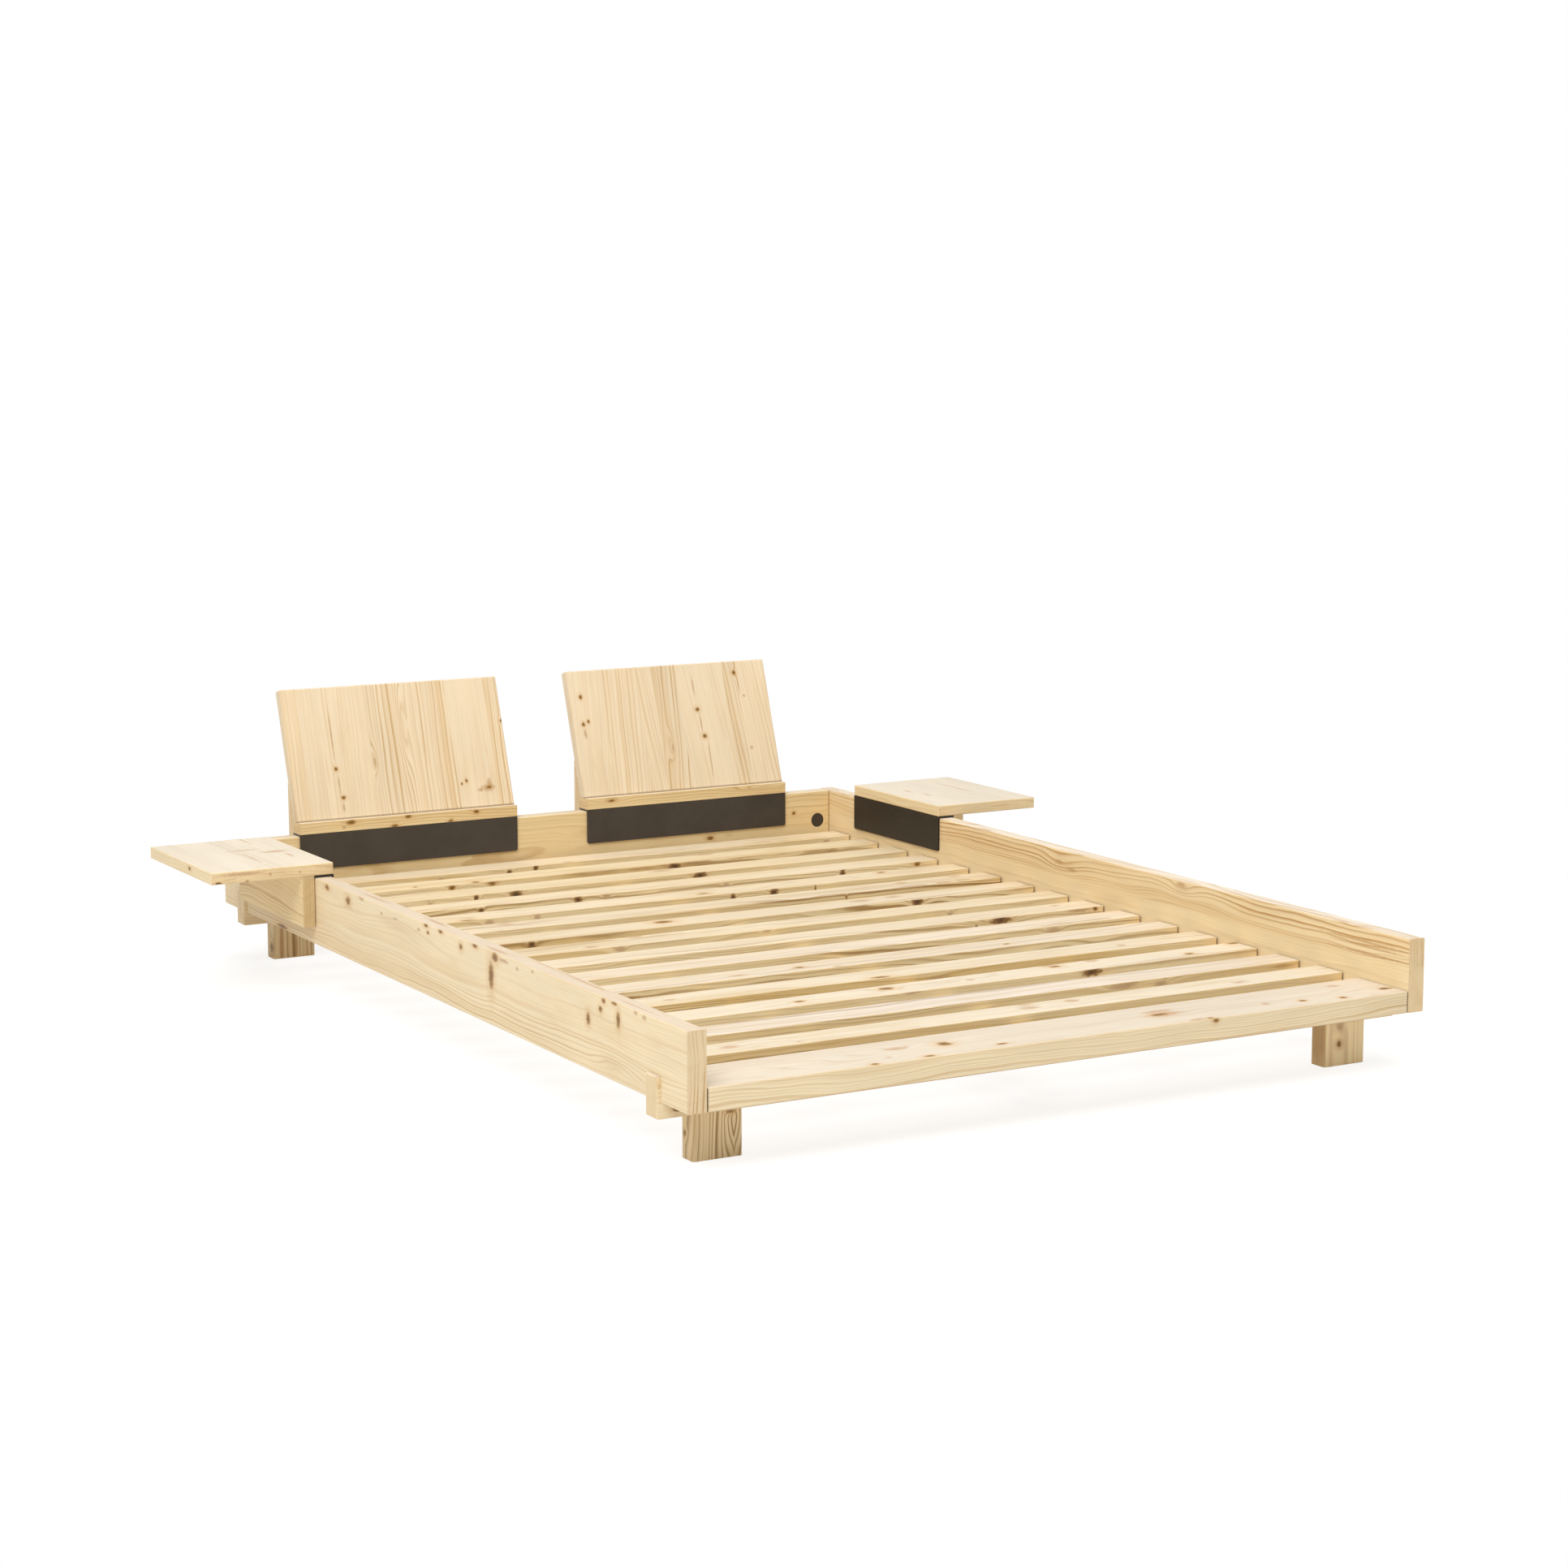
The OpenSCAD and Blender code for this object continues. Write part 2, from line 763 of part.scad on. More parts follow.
side_board(-1);  // side_board_left
side_board(1);  // side_board_right
headboard();
foot_plank();
for (i = [0 : slat_count - 1])
    slat(i);
slat_tapes();
ledger(-1);  // ledger_left
ledger(1);  // ledger_right
centre_rail();
rail_hanger();
centre_leg();
beam(beam_inset);  // beam_foot
beam(head_beam_y);  // beam_head
leg(-1, beam_inset);  // leg_foot_left
leg(1, beam_inset);  // leg_foot_right
leg(-1, head_beam_y);  // leg_head_left
leg(1, head_beam_y);  // leg_head_right
corner_studs();
corner_washers();
corner_nuts();
pocket_caps();
corner_dowels();
long_screws();
short_screws();
table_top(-1);  // table_left_top
table_apron(-1);  // table_left_apron
table_saddle(-1);  // table_left_saddle
table_screws(-1);  // table_left_screws
table_dowels(-1);  // table_left_dowels
table_top(1);  // table_right_top
table_apron(1);  // table_right_apron
table_saddle(1);  // table_right_saddle
table_screws(1);  // table_right_screws
table_dowels(1);  // table_right_dowels
backrest_base(-1);  // backrest_left_base
backrest_back(-1);  // backrest_left_back
backrest_apron(-1);  // backrest_left_apron
backrest_saddle(-1);  // backrest_left_saddle
backrest_screws(-1);  // backrest_left_screws
backrest_dowels(-1);  // backrest_left_dowels
backrest_base(1);  // backrest_right_base
backrest_back(1);  // backrest_right_back
backrest_apron(1);  // backrest_right_apron
backrest_saddle(1);  // backrest_right_saddle
backrest_screws(1);  // backrest_right_screws
backrest_dowels(1);  // backrest_right_dowels
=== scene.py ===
import math
import random

import bpy
from mathutils import Matrix, Vector


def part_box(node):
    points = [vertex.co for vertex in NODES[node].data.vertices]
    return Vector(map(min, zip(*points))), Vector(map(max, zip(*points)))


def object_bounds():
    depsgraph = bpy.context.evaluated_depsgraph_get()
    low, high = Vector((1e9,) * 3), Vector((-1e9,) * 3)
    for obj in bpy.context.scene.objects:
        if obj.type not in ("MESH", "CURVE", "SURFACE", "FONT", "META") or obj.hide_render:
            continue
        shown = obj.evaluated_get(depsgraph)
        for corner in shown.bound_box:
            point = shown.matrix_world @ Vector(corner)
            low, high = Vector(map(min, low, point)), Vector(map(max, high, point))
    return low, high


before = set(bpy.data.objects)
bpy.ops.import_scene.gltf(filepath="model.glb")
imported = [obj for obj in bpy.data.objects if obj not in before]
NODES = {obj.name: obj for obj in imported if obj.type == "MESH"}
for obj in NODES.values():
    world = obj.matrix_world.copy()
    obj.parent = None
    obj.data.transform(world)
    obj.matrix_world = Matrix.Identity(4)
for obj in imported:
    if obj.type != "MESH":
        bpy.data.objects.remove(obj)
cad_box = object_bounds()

WHITE = (1.0, 1.0, 1.0, 1.0)
BELL_BASE = 2.718        # about e, the base of the bell-shaped fall-offs


# ---------------------------------------------------------------- small helpers

def srgb(red, green, blue):
    """A colour as it is seen on screen (0-255), as the linear colour that a socket takes."""
    def linear(value):
        value /= 255.0
        return value / 12.92 if value <= 0.04045 else ((value + 0.055) / 1.055) ** 2.4
    return (linear(red), linear(green), linear(blue), 1.0)


class Wiring:
    """Adds shader nodes to a tree. An input is given as a number, a tuple or another node's output."""

    def __init__(self, tree):
        self.tree = tree

    def feed(self, node, inputs):
        """Sets or links a node's inputs."""
        for name, value in inputs.items():
            if isinstance(value, bpy.types.NodeSocket):
                self.tree.links.new(value, node.inputs[name])
            else:
                node.inputs[name].default_value = value

    def add(self, kind, inputs=None, **settings):
        node = self.tree.nodes.new(kind)
        for name, value in settings.items():
            setattr(node, name, value)
        self.feed(node, inputs or {})
        return node

    def math(self, operation, a, b=0.0, clamp=False):
        return self.add("ShaderNodeMath", {0: a, 1: b}, operation=operation, use_clamp=clamp).outputs[0]

    def chain(self, operation, first, *others):
        """Joins numbers by one operation, from left to right."""
        for value in others:
            first = self.math(operation, first, value)
        return first

    def plus(self, *values):
        return self.chain("ADD", *values)

    def times(self, *values):
        return self.chain("MULTIPLY", *values)

    def bell(self, value, sharpness):
        """A hump that is 1 where the value is 0 and falls towards 0 on both sides."""
        return self.math("POWER", BELL_BASE, self.times(value, value, -sharpness))

    def vector(self, operation, a, b=(0.0, 0.0, 0.0)):
        return self.add("ShaderNodeVectorMath", {0: a, 1: b}, operation=operation).outputs["Vector"]

    def scaled(self, vector, factor):
        node = self.add("ShaderNodeVectorMath", {0: vector, "Scale": factor}, operation="SCALE")
        return node.outputs["Vector"]

    def length(self, vector):
        return self.add("ShaderNodeVectorMath", {0: vector}, operation="LENGTH").outputs["Value"]

    def combine(self, x, y=0.0, z=0.0):
        return self.add("ShaderNodeCombineXYZ", {0: x, 1: y, 2: z}).outputs[0]

    def split(self, vector):
        return self.add("ShaderNodeSeparateXYZ", {0: vector}).outputs

    def here(self):
        """The place on the object, in metres and in the frame that all the pieces share."""
        return self.add("ShaderNodeTexCoord").outputs["Object"]

    def noise(self, place, scale, detail=2.0, roughness=0.5, stretch=None, output="Fac"):
        """stretch multiplies the place first, so the noise is finer along an axis with a larger number."""
        if stretch:
            place = self.vector("MULTIPLY", place, stretch)
        inputs = {"Vector": place, "Scale": scale, "Detail": detail, "Roughness": roughness}
        return self.add("ShaderNodeTexNoise", inputs).outputs[output]

    def step(self, value, low, high, out_low=0.0, out_high=1.0):
        """Goes smoothly from out_low at low to out_high at high, and low may be the larger of the two."""
        inputs = {"Value": value, "From Min": low, "From Max": high, "To Min": out_low, "To Max": out_high}
        return self.add("ShaderNodeMapRange", inputs, interpolation_type="SMOOTHSTEP", clamp=True).outputs[0]

    def mix(self, factor, a, b, blend="MIX"):
        """Mixes two colours. The node has several inputs called A and B, so they go by number."""
        inputs = {0: factor, 6: a, 7: b}
        return self.add("ShaderNodeMix", inputs, data_type="RGBA", blend_type=blend).outputs[2]

    def tinted(self, color, tint):
        return self.mix(1.0, color, tint, "MULTIPLY")

    def ramp(self, value, stops, interpolation="LINEAR"):
        """Looks a number from 0 to 1 up in a row of stops: a position, then three values."""
        node = self.add("ShaderNodeValToRGB", {"Fac": value})
        ramp = node.color_ramp
        ramp.interpolation = interpolation
        while len(ramp.elements) < len(stops):
            ramp.elements.new(0.5)
        for element, (position, *values) in zip(ramp.elements, stops):
            element.position = position
            element.color = (*values, 1.0)
        return node.outputs["Color"]

    def bump(self, height, strength, depth):
        inputs = {"Height": height, "Strength": strength, "Distance": depth}
        return self.add("ShaderNodeBump", inputs).outputs[0]


def emptied(owner):
    """Clears a material's or a world's nodes and gives the wiring for new ones."""
    owner.use_nodes = True
    owner.node_tree.nodes.clear()
    return Wiring(owner.node_tree)


def new_material(name):
    material = bpy.data.materials.new(name)
    w = emptied(material)
    shader = w.add("ShaderNodeBsdfPrincipled")
    w.add("ShaderNodeOutputMaterial", {"Surface": shader.outputs[0]})
    return material, w, shader


def dress(node, material):
    """Gives a CAD node its material."""
    slots = NODES[node].data.materials
    slots.clear()
    slots.append(material)


# ---------------------------------------------------------------- pine

WOOD_INPUTS = (
    ("Grain", "NodeSocketVector"),        # metres: along the grain, across the board, through it
    ("Half size", "NodeSocketVector"),    # half of the board's size, in the same order
    ("Top", "NodeSocketFloat"),           # 1 where the surface faces up
    ("End", "NodeSocketFloat"),           # 1 on end grain
    ("Knot", "NodeSocketFloat"),          # distance to the nearest knot, in knot sizes
    ("Dark knot", "NodeSocketFloat"),     # the same for the nearest dark knot
    ("Ghost", "NodeSocketFloat"),         # the same for the nearest faint brown smudge
    ("Streak mark", "NodeSocketFloat"),   # the same for the nearest brown streak
    ("Swirl", "NodeSocketFloat"),         # the same for the nearest place where the rings bulge
    ("Stave", "NodeSocketVector"),        # tone, place in the log and ring strength of the stave
    ("Pith", "NodeSocketVector"),         # where the log's middle lies, seen from the board's middle
    ("Seed", "NodeSocketVector"),         # where in the noises the board lies
    ("Ring", "NodeSocketFloat"),          # width of a year ring
    ("Taper", "NodeSocketFloat"),         # how far the rings shift per metre along the board
    ("Wave", "NodeSocketFloat"),          # how far the grain wanders
    ("Lines", "NodeSocketFloat"),         # strength of the year rings' dark lines
    ("End lines", "NodeSocketFloat"),     # how many times that strength they have on end grain
    ("Bands", "NodeSocketFloat"),         # strength of the broad darker bands
    ("Light", "NodeSocketColor"),
    ("Dark", "NodeSocketColor"),
    ("Band color", "NodeSocketColor"),
    # painted light: laid on faces that face up, for the cool light from above and its sheen
    ("Painted top light", "NodeSocketColor"),
    ("End tint", "NodeSocketColor"),
)
WOOD_OUTPUTS = (("Color", "NodeSocketColor"), ("Height", "NodeSocketFloat"), ("Roughness", "NodeSocketFloat"))
MARK_INPUTS = {"knot": "Knot", "dark": "Dark knot", "ghost": "Ghost", "streak": "Streak mark",
               "swirl": "Swirl"}
FAR_AWAY = 99.0          # the distance to a mark, in mark sizes, where there is none

STAVE_SHIFT = (9.0, 3.1, 5.3)    # how far a stave's place in the log moves it through the noises
STAVE_PITH = (0.0, 0.19, 0.0)    # the share of that by which it moves the pith, across the board
RIPPLE_SHARE = 0.12      # the small ripples of the grain, as a share of its slow waves
KNOT_PUSH = 0.9          # how far a knot pushes the rings aside, in rings
KNOT_SHARPNESS = 0.3     # how soon that push dies away
SWIRL_PUSH = 2.0         # the same two for a swirl
SWIRL_SHARPNESS = 0.5
END_RING = 0.0085        # width of a ring on end grain, in metres
END_CURVE = 0.6          # how much those rings bend across the board
END_WAVE = 0.007         # how far they wander, in metres
END_START = 0.5          # keeps their count above 0
UNEVEN = 2.4             # how far a noise shifts the rings, in rings, so that their widths differ
# Through one ring, from its inner to its outer side: a place and how dark the wood is there
RING_PROFILE = ((0.0, 0.06), (0.25, 0.0), (0.58, 0.20), (0.82, 1.0), (0.94, 0.90), (1.0, 0.06))
BAND_RATE = 60.0         # how fast the broad bands change across the rings
BAND_DRIFT = 0.9         # the same along the board
MOTTLE_SHARE = 0.55      # the mottle's strength, as a share of the bands'
END_TINT_SHARE = 0.45    # how much of the end tint is laid on end grain
WORN_FROM, WORN_FULL = 0.0040, 0.0012    # where wear starts and is full, in metres from an edge
WORN_SHARE = 0.35        # how strongly it colours the wood
WORN_COLOR = srgb(222, 190, 142)

# How each mark is painted, in this order: the distance where its colour starts, the distance where it is
# full, how strong it gets, and the colour. The halo lies round every knot.
MARK_PAINT = (
    ("halo", 3.0, 0.9, 0.42, srgb(216, 174, 118)),
    ("ghost", 1.7, 0.4, 0.75, srgb(192, 154, 116)),
    ("streak", 1.3, 0.3, 0.65, srgb(186, 144, 96)),
    ("swirl", 1.2, 0.2, 0.22, srgb(200, 162, 112)),
    ("knot", 1.3, 0.7, 1.0, srgb(172, 132, 74)),
    ("knot", 0.85, 0.25, 0.85, srgb(122, 84, 38)),
    ("dark", 1.7, 0.9, 1.0, srgb(142, 104, 60)),
    ("dark", 0.90, 0.15, 0.9, srgb(86, 60, 35)),
)


def bent_grain(w, given, seeded):
    """The place in a grain that wanders: slow waves, then small ripples."""
    def sway(stretch, scale, strength):
        noise = w.noise(seeded, scale, stretch=stretch, output="Color")
        return w.scaled(w.vector("SUBTRACT", noise, (0.5, 0.5, 0.5)), strength)

    slow = sway((1.0, 3.5, 3.5), 2.4, given["Wave"])
    fast = sway((1.0, 3.0, 3.0), 11.0, w.times(given["Wave"], RIPPLE_SHARE))
    return w.vector("ADD", given["Grain"], w.vector("ADD", slow, fast))


def log_radius(w, given, seeded, log):
    """The distance from the log's middle, with the rings pushed aside at knots and swirls."""
    pith = w.vector("ADD", given["Pith"], w.vector("MULTIPLY", log, STAVE_PITH))
    from_pith = w.vector("SUBTRACT", bent_grain(w, given, seeded), pith)
    from_pith = w.vector("MULTIPLY", from_pith, (0.0, 1.0, 1.0))
    along = w.split(given["Grain"])[0]
    radius = w.plus(w.length(from_pith), w.times(along, given["Taper"]))
    nearest = w.chain("MINIMUM", given["Knot"], given["Dark knot"], given["Ghost"])
    for distance, sharpness, push in ((nearest, KNOT_SHARPNESS, KNOT_PUSH),
                                      (given["Swirl"], SWIRL_SHARPNESS, SWIRL_PUSH)):
        radius = w.plus(radius, w.times(w.bell(distance, sharpness), w.times(given["Ring"], push)))
    return radius


def ring_count(w, given, seeded, radius):
    """How many rings lie between here and the log's middle. On end grain they run along the wide face."""
    across, through = w.split(given["Grain"])[1:]
    end_wave = w.times(w.noise(seeded, 14.0, stretch=(0.0, 1.0, 0.3)), END_WAVE)
    end_radius = w.plus(through, w.times(across, across, END_CURVE), end_wave, END_START)
    side_count = w.math("DIVIDE", radius, given["Ring"])
    end_count = w.math("DIVIDE", end_radius, END_RING)
    count = w.add("ShaderNodeMix", {0: given["End"], 2: side_count, 3: end_count}).outputs[0]
    return w.plus(count, w.times(w.noise(w.combine(count, 0.37), 0.42, 1.0), UNEVEN))


def late_wood(w, given, seeded, shift, stave_lines, count):
    """The dark line of each year ring, from 0 to 1. It differs from patch to patch and from ring to ring."""
    profile = [(position, level, level, level) for position, level in RING_PROFILE]
    late = w.ramp(w.math("FRACT", count), profile)
    patches = w.noise(seeded, 1.7, stretch=(1.0, 9.0, 9.0))
    own = w.noise(w.combine(w.math("FLOOR", count), shift), 3.7, 0.0)
    strength = w.times(given["Lines"], stave_lines,
                       w.step(patches, 0.30, 0.62, 0.35, 1.15),
                       w.step(own, 0.3, 0.7, 0.35, 1.2),
                       w.step(given["End"], 0.0, 1.0, 1.0, given["End lines"]),
                       w.step(given["Top"], 0.0, 1.0, 1.0, 0.5))
    return w.math("MULTIPLY", late, strength, clamp=True)


def bands_and_mottle(w, given, seeded, log, stave_lines, radius):
    """Broad darker bands that follow the rings, and a mottle that doesn't."""
    along = w.split(given["Grain"])[0]
    place = w.combine(w.times(radius, BAND_RATE), w.times(along, BAND_DRIFT))
    bands = w.noise(w.vector("ADD", place, w.vector("ADD", given["Seed"], log)), 0.9, 3.0, 0.6)
    bands = w.times(w.step(bands, 0.42, 0.72), given["Bands"],
                    w.step(given["Top"], 0.0, 1.0, 1.0, 0.6),
                    w.step(stave_lines, 0.1, 0.9, 0.3, 1.0))
    mottle = w.noise(seeded, 4.5, 3.0, 0.6, stretch=(1.0, 5.0, 5.0))
    mottle = w.times(w.step(mottle, 0.48, 0.72), w.times(given["Bands"], MOTTLE_SHARE))
    return w.math("MAXIMUM", bands, mottle)


def mark_distances(w, given, seeded):
    """The distance to each kind of mark, made ragged. A swirl stays smooth."""
    distances = {kind: given[name] for kind, name in MARK_INPUTS.items()}
    ragged = w.noise(seeded, 1.0, 3.0, 0.6, stretch=(90.0, 170.0, 170.0))
    ragged = w.math("SUBTRACT", ragged, 0.5)
    distances["dark"] = w.times(distances["dark"], 1.15)
    for kind, share in (("knot", 1.1), ("dark", 2.0), ("ghost", 1.6), ("streak", 1.1)):
        distances[kind] = w.plus(distances[kind], w.times(ragged, share))
    distances["halo"] = w.math("MINIMUM", distances["knot"], distances["dark"])
    return distances


def worn_edges(w, given, seeded):
    """1 along the eased edges, where hands have been, and less in patches."""
    away = w.vector("SUBTRACT", given["Half size"], w.vector("ABSOLUTE", given["Grain"]))
    x, y, z = w.split(away)
    least, most = w.math("MINIMUM", x, y), w.math("MAXIMUM", x, y)
    second = w.math("MAXIMUM", least, w.math("MINIMUM", most, z))    # small only near two faces at once
    patchy = w.noise(seeded, 1.0, 3.0, stretch=(18.0, 18.0, 18.0))
    return w.times(w.step(second, WORN_FROM, WORN_FULL), w.step(patchy, 0.35, 0.7, 0.25, 1.0))


def make_wood_group():
    """The pine that all boards share: from the place in a board to its colour, relief and roughness."""
    tree = bpy.data.node_groups.new("pine", "ShaderNodeTree")
    for way, sockets in (("INPUT", WOOD_INPUTS), ("OUTPUT", WOOD_OUTPUTS)):
        for name, kind in sockets:
            tree.interface.new_socket(name, in_out=way, socket_type=kind)
    w = Wiring(tree)
    given = w.add("NodeGroupInput").outputs
    tone, shift, stave_lines = w.split(given["Stave"])
    log = w.vector("MULTIPLY", w.combine(shift, shift, shift), STAVE_SHIFT)
    seeded = w.vector("ADD", w.vector("ADD", given["Grain"], given["Seed"]), log)

    radius = log_radius(w, given, seeded, log)
    count = ring_count(w, given, seeded, radius)
    late = late_wood(w, given, seeded, shift, stave_lines, count)
    darker = bands_and_mottle(w, given, seeded, log, stave_lines, radius)
    color = w.mix(darker, given["Light"], given["Band color"])
    color = w.mix(late, color, given["Dark"])

    # Fine fibres and a slow cloud, then painted light on faces that face up, and the end grain's tint
    fibres = w.noise(seeded, 1.0, 3.0, 0.65, stretch=(10.0, 620.0, 620.0))
    cloud = w.noise(seeded, 5.0, stretch=(1.0, 4.0, 4.0))
    shade = w.times(w.step(fibres, 0.25, 0.75, 0.955, 1.03), w.step(cloud, 0.3, 0.7, 0.975, 1.02), tone)
    color = w.tinted(color, w.combine(shade, shade, shade))
    # Painted light: faces that face up get a cooler colour, for the light from above and its sheen
    color = w.mix(given["Top"], color, w.tinted(color, given["Painted top light"]))
    color = w.mix(w.times(given["End"], END_TINT_SHARE), color, w.tinted(color, given["End tint"]))

    distances = mark_distances(w, given, seeded)
    for kind, start, full, strength, paint in MARK_PAINT:
        color = w.mix(w.step(distances[kind], start, full, 0.0, strength), color, paint)
    worn = worn_edges(w, given, seeded)
    color = w.mix(w.times(worn, WORN_SHARE), color, WORN_COLOR)

    # Late wood and fibres stand up a little and knots lie lower. Knots, late wood and worn edges are smoother
    height = w.plus(w.times(late, 0.5), w.times(fibres, 0.35))
    height = w.math("SUBTRACT", height, w.step(distances["halo"], 1.15, 0.95, 0.0, 0.6))
    rough = w.plus(w.step(fibres, 0.2, 0.8, 0.50, 0.60), w.times(late, -0.08))
    rough = w.math("SUBTRACT", rough, w.times(worn, 0.08))
    rough = w.math("SUBTRACT", rough, w.step(distances["halo"], 1.1, 0.7, 0.0, 0.14))
    w.add("NodeGroupOutput", {"Color": color, "Height": height, "Roughness": rough})
    return tree


PINE = make_wood_group()

# tint is painted light: the colour that faces facing up are multiplied by, for the light from above
PALE = dict(light=srgb(241, 222, 184), dark=srgb(208, 172, 120), band=srgb(226, 196, 150),
            tint=(0.87, 0.93, 1.14, 1.0))
BOARD = dict(PALE, light=srgb(239, 220, 183), tint=(0.79, 0.79, 0.89, 1.0))
PLANK = dict(PALE, tint=(0.82, 0.86, 1.04, 1.0))
SLAT = dict(light=srgb(243, 221, 175), dark=srgb(168, 130, 76), band=srgb(220, 184, 116),
            tint=(0.86, 0.93, 1.24, 1.0))
WARM = dict(light=srgb(243, 221, 178), dark=srgb(198, 155, 98), band=srgb(228, 197, 145),
            tint=(0.90, 0.965, 1.24, 1.0))
GOLD = dict(light=srgb(240, 216, 166), dark=srgb(206, 166, 108), band=srgb(226, 194, 138),
            tint=(0.88, 0.95, 1.24, 1.0))
# The aprons' end grain is tinted much darker than other ends: partly its own colour, partly painted shade
# under the table top
APRON = dict(GOLD, end=srgb(168, 150, 128))
TABLE = dict(GOLD, light=srgb(241, 220, 178), dark=srgb(208, 172, 120), tint=(0.87, 0.949, 1.227, 1.0))
PANEL = dict(PALE, light=srgb(238, 219, 187))
LEG = dict(light=srgb(249, 225, 178), dark=srgb(164, 124, 74), band=srgb(214, 180, 128),
           tint=(1.0, 1.0, 1.0, 1.0))

